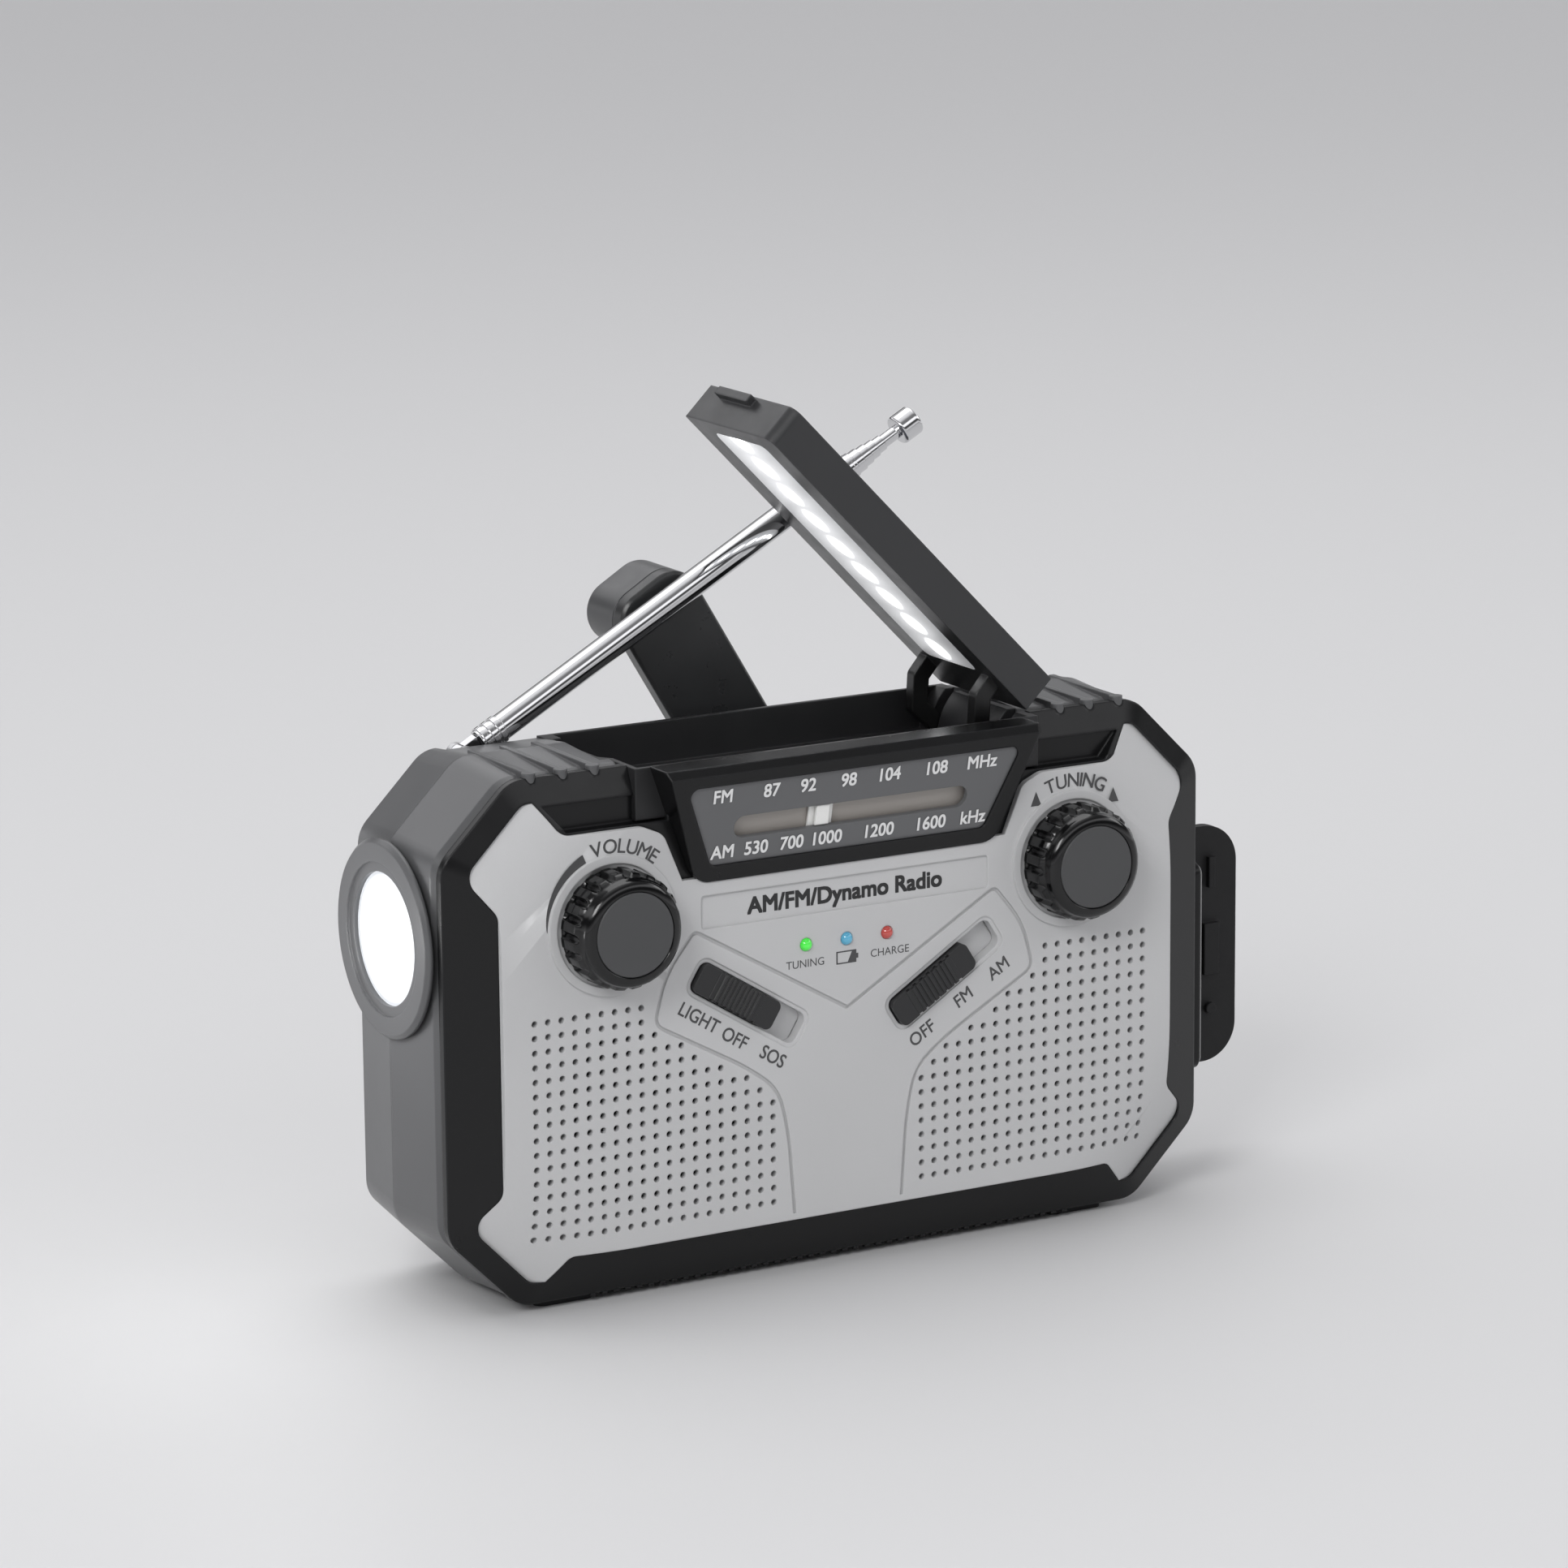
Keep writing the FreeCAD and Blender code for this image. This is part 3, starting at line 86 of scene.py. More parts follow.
# ---------- node tree helpers
class Tree:
    """A small helper that adds and links nodes in one tree."""

    def __init__(self, tree):
        self.t = tree

    def add(self, kind, inputs=None, **props):
        n = self.t.nodes.new(kind)
        for key, value in props.items():
            setattr(n, key, value)
        self.feed(n, inputs or {})
        return n

    def feed(self, node, inputs):
        """Set or link a node's inputs by name."""
        for key, value in inputs.items():
            self.set(node.inputs[key], value)

    def set(self, socket, value):
        if hasattr(value, "is_output") or hasattr(value, "links"):
            self.t.links.new(value, socket)
        else:
            socket.default_value = value

    def link(self, a, b):
        self.t.links.new(a, b)

    def math(self, op, a, b=None, clamp=False):
        n = self.t.nodes.new("ShaderNodeMath")
        n.operation = op
        n.use_clamp = clamp
        self.set(n.inputs[0], a)
        if b is not None:
            self.set(n.inputs[1], b)
        return n.outputs[0]

    def place(self):
        return self.add("ShaderNodeTexCoord").outputs["Object"]

    def bump(self, strength, distance, height, **normal):
        return self.add("ShaderNodeBump", {"Strength": strength, "Distance": distance,
                                           "Height": height, **normal}).outputs[0]

    def length(self, a, b):
        """Length of a flat vector."""
        return self.math("SQRT", self.math("ADD", self.math("MULTIPLY", a, a), self.math("MULTIPLY", b, b)))

    def mix(self, factor, a, b):
        n = self.t.nodes.new("ShaderNodeMix")
        n.data_type = "RGBA"
        self.set(n.inputs[0], factor)
        self.set(n.inputs[6], a)
        self.set(n.inputs[7], b)
        return n.outputs[2]


def new_group(name, kind, ins, outs):
    """A node group with named sockets; ins and outs are (name, socket type, default)."""
    g = bpy.data.node_groups.new(name, kind)
    for label, socket, default in ins:
        s = g.interface.new_socket(label, in_out="INPUT", socket_type=socket)
        if default is not None:
            s.default_value = default
    for label, socket in outs:
        g.interface.new_socket(label, in_out="OUTPUT", socket_type=socket)
    return g, Tree(g)


def build_moulding_group():
    """Spark-eroded plastic: fine grain, slow drift of tone and shine, and paler edges that are partly rubbed
    and partly a painted highlight.
    """
    g, t = new_group(
        "moulded_plastic", "ShaderNodeTree",
        [("Tone", "NodeSocketColor", (0.2, 0.2, 0.2, 1.0)),
         ("Worn And Lit Edge Tone", "NodeSocketColor", (0.3, 0.3, 0.3, 1.0)),
         ("Grain Scale", "NodeSocketFloat", 3500.0),
         ("Drift Scale", "NodeSocketFloat", 35.0),
         ("Drift", "NodeSocketFloat", 0.08),
         ("Shine", "NodeSocketFloat", 0.45),
         ("Shine Drift", "NodeSocketFloat", 0.12),
         ("Edge Radius", "NodeSocketFloat", 0.0005),
         ("Edge Wear And Highlight", "NodeSocketFloat", 0.35)],
        [("Color", "NodeSocketColor"), ("Roughness", "NodeSocketFloat"),
         ("Height", "NodeSocketFloat"), ("Normal", "NodeSocketVector")])
    gi = t.add("NodeGroupInput").outputs
    go = t.add("NodeGroupOutput").inputs
    where = t.place()
    grain = t.add("ShaderNodeTexNoise", {"Vector": where, "Scale": gi["Grain Scale"], "Detail": 2.0})
    drift = t.add("ShaderNodeTexNoise", {"Vector": where, "Scale": gi["Drift Scale"], "Detail": 4.0})
    smudge = t.add("ShaderNodeTexNoise", {"Vector": where, "Scale": 140.0, "Detail": 5.0,
                                          "Roughness": 0.65})
    # edge mask from the bevelled normal; the paler edge tone it mixes in is partly rubbing and partly a
    # painted highlight
    round_edge = t.add("ShaderNodeBevel", {"Radius": gi["Edge Radius"]}, samples=4)
    flat = t.add("ShaderNodeNewGeometry").outputs["Normal"]
    along = t.add("ShaderNodeVectorMath", {0: round_edge.outputs[0], 1: flat}, operation="DOT_PRODUCT")
    bend = t.math("SUBTRACT", 1.0, along.outputs["Value"])
    edge = t.math("MULTIPLY", bend, 9.0, clamp=True)
    worn_and_lit_edge = t.math("MULTIPLY", edge, gi["Edge Wear And Highlight"])
    swing = t.math("SUBTRACT", drift.outputs["Fac"], 0.5)
    lift = t.math("ADD", 1.0, t.math("MULTIPLY", swing, t.math("MULTIPLY", gi["Drift"], 2.0)))
    speck = t.math("ADD", 0.97, t.math("MULTIPLY", grain.outputs["Fac"], 0.06))
    tone = t.add("ShaderNodeVectorMath", {0: gi["Tone"]}, operation="SCALE")
    t.set(tone.inputs["Scale"], t.math("MULTIPLY", lift, speck))
    t.link(t.mix(worn_and_lit_edge, tone.outputs[0], gi["Worn And Lit Edge Tone"]), go["Color"])
    wander = t.math("MULTIPLY", t.math("SUBTRACT", smudge.outputs["Fac"], 0.5), gi["Shine Drift"])
    t.link(t.math("ADD", gi["Shine"], t.math("MULTIPLY", wander, 2.0), clamp=True), go["Roughness"])
    t.link(grain.outputs["Fac"], go["Height"])
    t.link(round_edge.outputs[0], go["Normal"])
    return g


def build_brushed_group():
    """Drawn or turned metal: fine lines along one axis of a turned coordinate, with faint handling marks."""
    g, t = new_group(
        "drawn_metal", "ShaderNodeTree",
        [("Tone", "NodeSocketColor", (0.8, 0.8, 0.82, 1.0)),
         ("Turn", "NodeSocketVector", (0.0, 0.0, 0.0)),
         ("Line Scale", "NodeSocketFloat", 5000.0),
         ("Shine", "NodeSocketFloat", 0.1),
         ("Shine Drift", "NodeSocketFloat", 0.1),
         ("Edge Radius", "NodeSocketFloat", 0.0002)],
        [("Color", "NodeSocketColor"), ("Roughness", "NodeSocketFloat"),
         ("Height", "NodeSocketFloat"), ("Normal", "NodeSocketVector")])
    gi = t.add("NodeGroupInput").outputs
    go = t.add("NodeGroupOutput").inputs
    where = t.place()
    turned = t.add("ShaderNodeMapping", {"Vector": where, "Rotation": gi["Turn"]}).outputs[0]
    drawn = t.add("ShaderNodeVectorMath", {0: turned, 1: (0.02, 1.0, 1.0)}, operation="MULTIPLY").outputs[0]
    lines = t.add("ShaderNodeTexNoise", {"Vector": drawn, "Scale": gi["Line Scale"], "Detail": 2.0})
    marks = t.add("ShaderNodeTexNoise", {"Vector": where, "Scale": 260.0, "Detail": 5.0, "Roughness": 0.7})
    tone = t.add("ShaderNodeVectorMath", {0: gi["Tone"]}, operation="SCALE")
    t.set(tone.inputs["Scale"], t.math("ADD", 0.95, t.math("MULTIPLY", lines.outputs["Fac"], 0.1)))
    t.link(tone.outputs[0], go["Color"])
    rough = t.math("MULTIPLY", t.math("ADD", lines.outputs["Fac"], marks.outputs["Fac"]), 0.5)
    t.link(t.math("ADD", gi["Shine"], t.math("MULTIPLY", t.math("SUBTRACT", rough, 0.4),
                                             gi["Shine Drift"]), clamp=True), go["Roughness"])
    t.link(lines.outputs["Fac"], go["Height"])
    t.link(t.add("ShaderNodeBevel", {"Radius": gi["Edge Radius"]}, samples=4).outputs[0], go["Normal"])
    return g


def build_lid_plane_group():
    """Place in the closed lid, in millimetres, for patterns laid out along the lid."""
    g, t = new_group("lid_plane", "ShaderNodeTree", [("Opened By", "NodeSocketFloat", LID_OPEN)],
                     [("Along", "NodeSocketFloat"), ("Across", "NodeSocketFloat"),
                      ("Place", "NodeSocketVector")])
    gi = t.add("NodeGroupInput").outputs
    go = t.add("NodeGroupOutput").inputs
    where = t.place()
    closed = t.add("ShaderNodeVectorRotate", {"Vector": where, "Angle": gi["Opened By"],
                                              "Center": (LID_AXIS[0] * MM, 0.0, LID_AXIS[1] * MM),
                                              "Axis": (0.0, -1.0, 0.0)}, rotation_type="AXIS_ANGLE")
    in_mm = t.add("ShaderNodeVectorMath", {0: closed.outputs[0]}, operation="SCALE")
    in_mm.inputs["Scale"].default_value = 1000.0
    split = t.add("ShaderNodeSeparateXYZ", {"Vector": in_mm.outputs[0]})
    t.link(split.outputs["X"], go["Along"])
    t.link(split.outputs["Y"], go["Across"])
    t.link(in_mm.outputs[0], go["Place"])
    return g


moulding = build_moulding_group()
drawn_metal = build_brushed_group()
lid_plane = build_lid_plane_group()


def blank_material(name):
    """A new material, its tree and its shader."""
    m = bpy.data.materials.new(name)
    m.use_nodes = True
    t = Tree(m.node_tree)
    shader = m.node_tree.nodes["Principled BSDF"]
    return m, t, shader


def plastic(name, tone, worn_and_lit_edge=None, shine=0.45, grain_depth=0.02, grain=3500.0, drift=0.08,
            edge_wear_and_highlight=0.35, edge=0.0005, coat=0.0, specular=0.5, shine_drift=0.12):
    """A moulded plastic or rubber finish."""
    m, t, shader = blank_material(name)
    # by default the edges are 1.6 times paler than the body tone: partly rubbing and partly a painted
    # highlight
    worn_and_lit_edge = worn_and_lit_edge or tuple(min(1.0, c * 1.6 + 0.01) for c in tone)
    g = t.add("ShaderNodeGroup", node_tree=moulding)
    t.feed(g, {"Tone": (*tone, 1.0), "Worn And Lit Edge Tone": (*worn_and_lit_edge, 1.0), "Grain Scale": grain, "Drift": drift,
               "Shine": shine, "Shine Drift": shine_drift, "Edge Radius": edge, "Edge Wear And Highlight": edge_wear_and_highlight})
    t.feed(shader, {"Base Color": g.outputs["Color"], "Roughness": g.outputs["Roughness"],
                    "Normal": t.bump(0.5, grain_depth * MM, g.outputs["Height"], Normal=g.outputs["Normal"]),
                    "Coat Weight": coat, "Coat Roughness": 0.08, "Specular IOR Level": specular})
    return m


def metal(name, tone, shine=0.1, drift=0.1, turn=(0.0, 0.0, 0.0), lines=5000.0, depth=0.002,
          edge=0.0002):
    """A drawn or plated metal finish."""
    m, t, shader = blank_material(name)
    g = t.add("ShaderNodeGroup", node_tree=drawn_metal)
    t.feed(g, {"Tone": (*tone, 1.0), "Turn": turn, "Line Scale": lines, "Shine": shine,
               "Shine Drift": drift, "Edge Radius": edge})
    t.feed(shader, {"Base Color": g.outputs["Color"], "Roughness": g.outputs["Roughness"],
                    "Normal": t.bump(0.4, depth * MM, g.outputs["Height"], Normal=g.outputs["Normal"]),
                    "Metallic": 1.0})
    return m


def lamp_lens(name, node, tone, glow):
    """A small clear dome with its lamp lit: bright in the middle, deep in colour at the rim."""
    m, t, shader = blank_material(name)
    low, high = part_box(node)
    split = t.add("ShaderNodeSeparateXYZ", {"Vector": t.place()})
    dx = t.math("SUBTRACT", split.outputs["X"], (low[0] + high[0]) / 2.0)
    dz = t.math("SUBTRACT", split.outputs["Z"], (low[2] + high[2]) / 2.0)
    off_axis = t.length(dx, dz)
    to_rim = t.math("DIVIDE", off_axis, (high[0] - low[0]) / 2.0)
    hot = tuple(min(1.0, c * 1.1 + 0.12) for c in tone)
    deep_tone = tuple(c * 0.22 for c in tone)
    cloudy = t.add("ShaderNodeTexNoise", {"Vector": t.place(), "Scale": 900.0, "Detail": 3.0})
    t.feed(shader, {
        "Base Color": t.mix(t.math("MULTIPLY", cloudy.outputs["Fac"], 0.4), (*tone, 1.0), (*deep_tone, 1.0)),
        "Emission Color": t.mix(t.math("POWER", to_rim, 1.6, clamp=True), (*hot, 1.0), (*deep_tone, 1.0)),
        "Emission Strength": glow, "Roughness": 0.08, "Coat Weight": 0.8})
    return m


def printed(name, tone):
    """Pad-printed ink with slightly uneven cover."""
    m, t, shader = blank_material(name)
    cover = t.add("ShaderNodeTexNoise", {"Vector": t.place(), "Scale": 2500.0, "Detail": 3.0}).outputs["Fac"]
    thin = tuple(c * 0.8 + 0.04 for c in tone)
    t.feed(shader, {"Base Color": t.mix(t.math("MULTIPLY", cover, 0.5), (*tone, 1.0), (*thin, 1.0)),
                    "Roughness": t.math("ADD", 0.4, t.math("MULTIPLY", cover, 0.2))})
    return m


def solar_cells():
    """Dark cells under clear resin, with fine silver fingers and collector bars."""
    m, t, shader = blank_material("solar_cells")
    lid = t.add("ShaderNodeGroup", node_tree=lid_plane).outputs

    def lines(value, pitch, width):
        return t.math("LESS_THAN", t.math("FRACT", t.math("DIVIDE", value, pitch)), width / pitch)

    gaps = t.math("MAXIMUM", lines(lid["Along"], 10.4, 0.5), lines(lid["Across"], 15.2, 0.5))
    fingers = t.math("MAXIMUM", lines(lid["Across"], 1.3, 0.12), lines(lid["Along"], 5.2, 0.28))
    crystal = t.add("ShaderNodeTexVoronoi", {"Vector": lid["Place"], "Scale": 0.32})
    cell = t.mix(crystal.outputs["Distance"], (0.006, 0.010, 0.030, 1.0), (0.014, 0.022, 0.060, 1.0))
    with_lines = t.mix(t.math("MULTIPLY", fingers, 0.55), cell, (0.32, 0.33, 0.35, 1.0))
    dust = t.add("ShaderNodeTexNoise", {"Vector": lid["Place"], "Scale": 0.06, "Detail": 5.0})
    t.feed(shader, {"Base Color": t.mix(gaps, with_lines, (0.02, 0.02, 0.022, 1.0)),
                    "Roughness": t.math("ADD", 0.12, t.math("MULTIPLY", dust.outputs["Fac"], 0.14)),
                    "Coat Weight": 1.0, "Coat Roughness": 0.05})
    return m


READING_GLOW = 15.0         # the brightest spot of the reading lamp
TORCH_GLOW = 20.0           # the middle of the flashlight


def reading_lamp():
    """Milky diffuser lit from behind by a row of lamps, each one a hot spot."""
    m, t, shader = blank_material("reading_lamp")
    lid = t.add("ShaderNodeGroup", node_tree=lid_plane).outputs
    step = t.math("DIVIDE", t.math("ADD", lid["Along"], LAMP_FIRST), LAMP_PITCH)
    dx = t.math("MULTIPLY", t.math("SUBTRACT", t.math("FRACT", step), 0.5), LAMP_PITCH)
    dy = t.math("SUBTRACT", lid["Across"], -2.0)
    away = t.length(dx, dy)
    halo = t.math("POWER", t.math("SUBTRACT", 1.0, t.math("DIVIDE", away, 11.5), clamp=True), 1.6)
    core = t.math("POWER", t.math("SUBTRACT", 1.0, t.math("DIVIDE", away, 4.2), clamp=True), 1.6)
    glow = t.math("ADD", t.math("MULTIPLY", halo, 0.75), t.math("MULTIPLY", core, 14.0))
    glow = t.math("DIVIDE", t.math("ADD", glow, 0.12), READING_GLOW)
    ribs = t.add("ShaderNodeTexWave", {"Vector": lid["Place"], "Scale": 0.42, "Distortion": 0.3})
    milk = t.mix(t.math("MULTIPLY", ribs.outputs["Fac"], 0.3), (0.86, 0.87, 0.88, 1.0),
                 (0.72, 0.73, 0.75, 1.0))
    t.feed(shader, {"Base Color": milk, "Emission Color": t.mix(glow, BLACK, milk),
                    "Emission Strength": READING_GLOW, "Roughness": 0.35})
    return m


def torch_glass():
    """Front lens of the flashlight, lit: white hot in the middle, with fine rings to the rim."""
    m, t, shader = blank_material("torch_glass")
    split = t.add("ShaderNodeSeparateXYZ", {"Vector": t.place()})
    dy = t.math("SUBTRACT", split.outputs["Y"], TORCH[0] * MM)
    dz = t.math("SUBTRACT", split.outputs["Z"], TORCH[1] * MM)
    off_axis = t.length(dy, dz)
    inward = t.math("SUBTRACT", 1.0, t.math("DIVIDE", off_axis, TORCH_LENS_R * MM), clamp=True)
    rings = t.math("SINE", t.math("MULTIPLY", off_axis, 4200.0))
    hot = t.math("MULTIPLY", t.math("POWER", inward, 2.4), 22.0)
    ripple = t.math("ADD", 0.75, t.math("MULTIPLY", rings, 0.12))
    lit = t.math("DIVIDE", t.math("MULTIPLY", t.math("ADD", hot, 0.2), ripple), TORCH_GLOW)
    t.feed(shader, {"Base Color": t.mix(inward, (0.55, 0.57, 0.60, 1.0), (0.95, 0.96, 0.98, 1.0)),
                    "Emission Color": t.mix(lit, BLACK, (0.97, 0.98, 1.0, 1.0)),
                    "Emission Strength": TORCH_GLOW, "Roughness": 0.1,
                    "Normal": t.bump(0.3, 0.0002, rings)})
    return m


LID_TONE = (0.026, 0.0265, 0.028)
# paler edge tone of the lid: partly rubbing and partly a painted highlight
LID_WORN_AND_LIT_EDGE = (0.09, 0.09, 0.095)


def lid_plastic():
    """The lid's dark plastic, with the hinge arm faces painted near-black as painted shade."""
    m = plastic("lid_dark", LID_TONE, worn_and_lit_edge=LID_WORN_AND_LIT_EDGE, shine=0.33, grain_depth=0.012, edge=0.0006, edge_wear_and_highlight=0.4)
    t = Tree(m.node_tree)
    lid = t.add("ShaderNodeGroup", node_tree=lid_plane).outputs
    split = t.add("ShaderNodeSeparateXYZ", {"Vector": lid["Place"]})
    # hinge arm faces below the lid's underside and past its hinge end: painted near-black, a painted shade
    # where they sit in shadow
    arms_painted_shade = t.math("MAXIMUM", t.math("LESS_THAN", split.outputs["Z"], LID_UNDERSIDE - 0.1),
                  t.math("GREATER_THAN", split.outputs["X"], LID_END + 0.1))
    body = next(n for n in m.node_tree.nodes if n.type == "GROUP" and n.node_tree == moulding)
    t.link(t.mix(arms_painted_shade, (*LID_TONE, 1.0), (0.004, 0.004, 0.0042, 1.0)), body.inputs["Tone"])
    t.link(t.mix(arms_painted_shade, (*LID_WORN_AND_LIT_EDGE, 1.0), (0.006, 0.006, 0.006, 1.0)), body.inputs["Worn And Lit Edge Tone"])
    return m


def circuit_board():
    """Green lacquer over copper tracks."""
    m, t, shader = blank_material("circuit_board")
    where = t.place()
    cells = t.add("ShaderNodeTexVoronoi", {"Vector": where, "Scale": 700.0}, distance="MANHATTAN")
    track = t.math("LESS_THAN", cells.outputs["Distance"], 0.35)
    t.feed(shader, {"Base Color": t.mix(track, (0.012, 0.10, 0.045, 1.0), (0.03, 0.20, 0.08, 1.0)),
                    "Normal": t.bump(0.5, 0.00003, track),
                    "Roughness": t.math("ADD", 0.3, t.math("MULTIPLY", track, 0.1))})
    return m


ANTENNA_TILT = (0.0, math.radians(29.1), 0.0)
# the paler edge tones and their amounts below are partly rubbing and partly a painted highlight on the edges
PLASTICS = {
    "graphite_shell": dict(tone=(0.085, 0.086, 0.089), shine=0.30, grain_depth=0.012, drift=0.10,
                           edge=0.0006, edge_wear_and_highlight=0.22, shine_drift=0.045),
    "dark_frame": dict(tone=(0.0045, 0.0046, 0.005), worn_and_lit_edge=(0.04, 0.04, 0.043), shine=0.25,
                       grain_depth=0.003, edge=0.0007, edge_wear_and_highlight=0.3, shine_drift=0.06, specular=0.32),
    "pale_panel": dict(tone=(0.52, 0.522, 0.526), worn_and_lit_edge=(0.66, 0.66, 0.665), shine=0.36,
                       grain_depth=0.012, drift=0.04, edge=0.0005, edge_wear_and_highlight=0.35, specular=0.45),
    "dial_face": dict(tone=(0.115, 0.117, 0.121), shine=0.34, grain_depth=0.004, drift=0.05,
                      edge=0.0002, edge_wear_and_highlight=0.1),
    "pointer_white": dict(tone=(0.82, 0.82, 0.80), shine=0.2, grain_depth=0.004, edge_wear_and_highlight=0.1),
    "dial_track": dict(tone=(0.36, 0.335, 0.31), shine=0.35, grain_depth=0.004, edge_wear_and_highlight=0.1),
    "handle_dark": dict(tone=(0.055, 0.056, 0.058), shine=0.34, grain_depth=0.012, edge=0.0006, edge_wear_and_highlight=0.3),
    "gloss_black": dict(tone=(0.003, 0.003, 0.0033), worn_and_lit_edge=(0.008, 0.008, 0.008), shine=0.13,
                        grain_depth=0.001, edge=0.0004, edge_wear_and_highlight=0.1, coat=0.25, specular=0.35,
                        shine_drift=0.04),
    "knob_face": dict(tone=(0.056, 0.057, 0.059), shine=0.5, grain_depth=0.01, edge=0.0004, edge_wear_and_highlight=0.2),
    "switch_black": dict(tone=(0.014, 0.014, 0.015), worn_and_lit_edge=(0.06, 0.06, 0.06), shine=0.36,
                         grain_depth=0.008, edge=0.0003, edge_wear_and_highlight=0.4),
    "crank_black": dict(tone=(0.021, 0.0215, 0.0225), worn_and_lit_edge=(0.06, 0.06, 0.062), shine=0.3,
                        grain_depth=0.008, edge=0.0006, edge_wear_and_highlight=0.35),
    "soft_rubber": dict(tone=(0.010, 0.010, 0.0108), shine=0.6, grain_depth=0.04, grain=2200.0,
                        edge=0.0006, edge_wear_and_highlight=0.2, specular=0.35),
    "inner_black": dict(tone=(0.012, 0.012, 0.013), shine=0.45, grain_depth=0.02, edge_wear_and_highlight=0.1),
    "nylon_gear": dict(tone=(0.72, 0.69, 0.60), shine=0.4, grain_depth=0.01, edge_wear_and_highlight=0.1),
    "ferrite_grey": dict(tone=(0.07, 0.066, 0.066), shine=0.6, grain_depth=0.03, edge_wear_and_highlight=0.3),
    "cell_sleeve": dict(tone=(0.03, 0.11, 0.32), shine=0.25, grain_depth=0.004, edge_wear_and_highlight=0.2),
}
METALS = {
    "plain_steel": dict(tone=(0.56, 0.56, 0.57), shine=0.28, drift=0.2, depth=0.004),
    "antenna_chrome": dict(tone=(0.62, 0.62, 0.63), shine=0.05, drift=0.05, turn=ANTENNA_TILT, depth=0.0006),
    "wound_copper": dict(tone=(0.72, 0.33, 0.13), shine=0.25, drift=0.2, lines=2500.0),
    "bright_dish": dict(tone=(0.92, 0.92, 0.92), shine=0.05, drift=0.04),
}
LAMPS = {
    "lamp_green": dict(node="led_green", tone=(0.03, 0.72, 0.03), glow=0.42),
    "lamp_blue": dict(node="led_blue", tone=(0.06, 0.34, 0.52), glow=0.3),
    "lamp_red": dict(node="led_red", tone=(0.42, 0.03, 0.02), glow=0.3),
}
INKS = {
    "dark_ink": dict(tone=(0.055, 0.055, 0.057)),
    "black_ink": dict(tone=(0.008, 0.008, 0.009)),
    "white_ink": dict(tone=(0.80, 0.80, 0.80)),
}
finish = {"lid_dark": lid_plastic(), "solar_cells": solar_cells(), "reading_lamp": reading_lamp(),
          "torch_glass": torch_glass(), "circuit_board": circuit_board()}
for maker, table in ((plastic, PLASTICS), (metal, METALS), (lamp_lens, LAMPS), (printed, INKS)):
    for name, values in table.items():
        finish[name] = maker(name, **values)

# which CAD nodes take each finish
dressed = {
    "dark_frame": ["front_frame", "dial_bezel", "port_panel"],
    "graphite_shell": ["middle_shell", "rear_shell", "battery_door", "torch_bezel"],
    "dial_face": ["dial_plate"],
    "pointer_white": ["dial_pointer"],
    "inner_black": ["lid_tray", "tuning_capacitor", "speakers", "usb_tongue"],
    "plain_steel": ["lid_hinge_pin", "volume_pot", "switch_bodies", "crank_shaft", "crank_screw",
                    "rotor_pinion", "generator", "gear_plate", "antenna_bracket", "usb_shell",
                    "charge_socket", "phone_jack", "case_screws"],
    "lid_dark": ["lid_housing"],
    "solar_cells": ["solar_panel"],
    "reading_lamp": ["lamp_diffuser", "torch_led"],
    "circuit_board": ["lamp_board", "main_board"],
    "gloss_black": ["volume_knob", "tuning_knob"],
    "knob_face": ["volume_cap", "tuning_cap"],
    "switch_black": ["light_slider", "band_slider"],
    "lamp_green": ["led_green"],
    "lamp_blue": ["led_blue"],
    "lamp_red": ["led_red"],
    "ferrite_grey": ["ferrite_rod"],
    "wound_copper": ["ferrite_coil"],
    "cell_sleeve": ["battery_cells"],
    "crank_black": ["crank_arm"],
    "handle_dark": ["crank_handle"],
    "nylon_gear": ["crank_gear", "idler_gear"],
    "antenna_chrome": ["antenna_yoke", "antenna_tube"] + ["antenna_section_%d" % k for k in range(1, 6)],
    "torch_glass": ["torch_lens"],
    "bright_dish": ["torch_reflector"],
    "soft_rubber": ["port_cover", "feet"],
    "pale_panel": ["front_panel"],
}
for look, names in dressed.items():
    for name in names:
        nodes[name].data.materials.clear()
        nodes[name].data.materials.append(finish[look])


# ---------- mesh helpers
def add_piece(name, mesh, material, body):
    """Link a finished mesh as a piece that rides on a body."""
    obj = linked(name, mesh)
    mesh.materials.clear()
    mesh.materials.append(finish[material])
    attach(obj, body)
    return obj


def mesh_from(bm, name, smooth_deg=None):
    """A mesh with merged points and faces outwards, smooth up to an angle if one is given."""
    bmesh.ops.remove_doubles(bm, verts=bm.verts, dist=1e-7)
    bmesh.ops.recalc_face_normals(bm, faces=bm.faces)
    mesh = plain_mesh(bm, name)
    if smooth_deg:
        mesh.shade_smooth()
        mesh.set_sharp_from_angle(angle=math.radians(smooth_deg))
    return mesh


def rectangle(x0, z0, x1, z1):
    return [(x0, z0), (x0, z1), (x1, z1), (x1, z0)]


def prism(bm, outline, y0, y1):
    """A closed prism of an (x, z) outline in mm between two depths in mm."""
    low = [bm.verts.new((x * MM, y0 * MM, z * MM)) for x, z in outline]
    high = [bm.verts.new((x * MM, y1 * MM, z * MM)) for x, z in outline]
    n = len(outline)
    bm.faces.new(low)
    bm.faces.new(high[::-1])
    for i in range(n):
        bm.faces.new((low[i], high[i], high[(i + 1) % n], low[(i + 1) % n]))


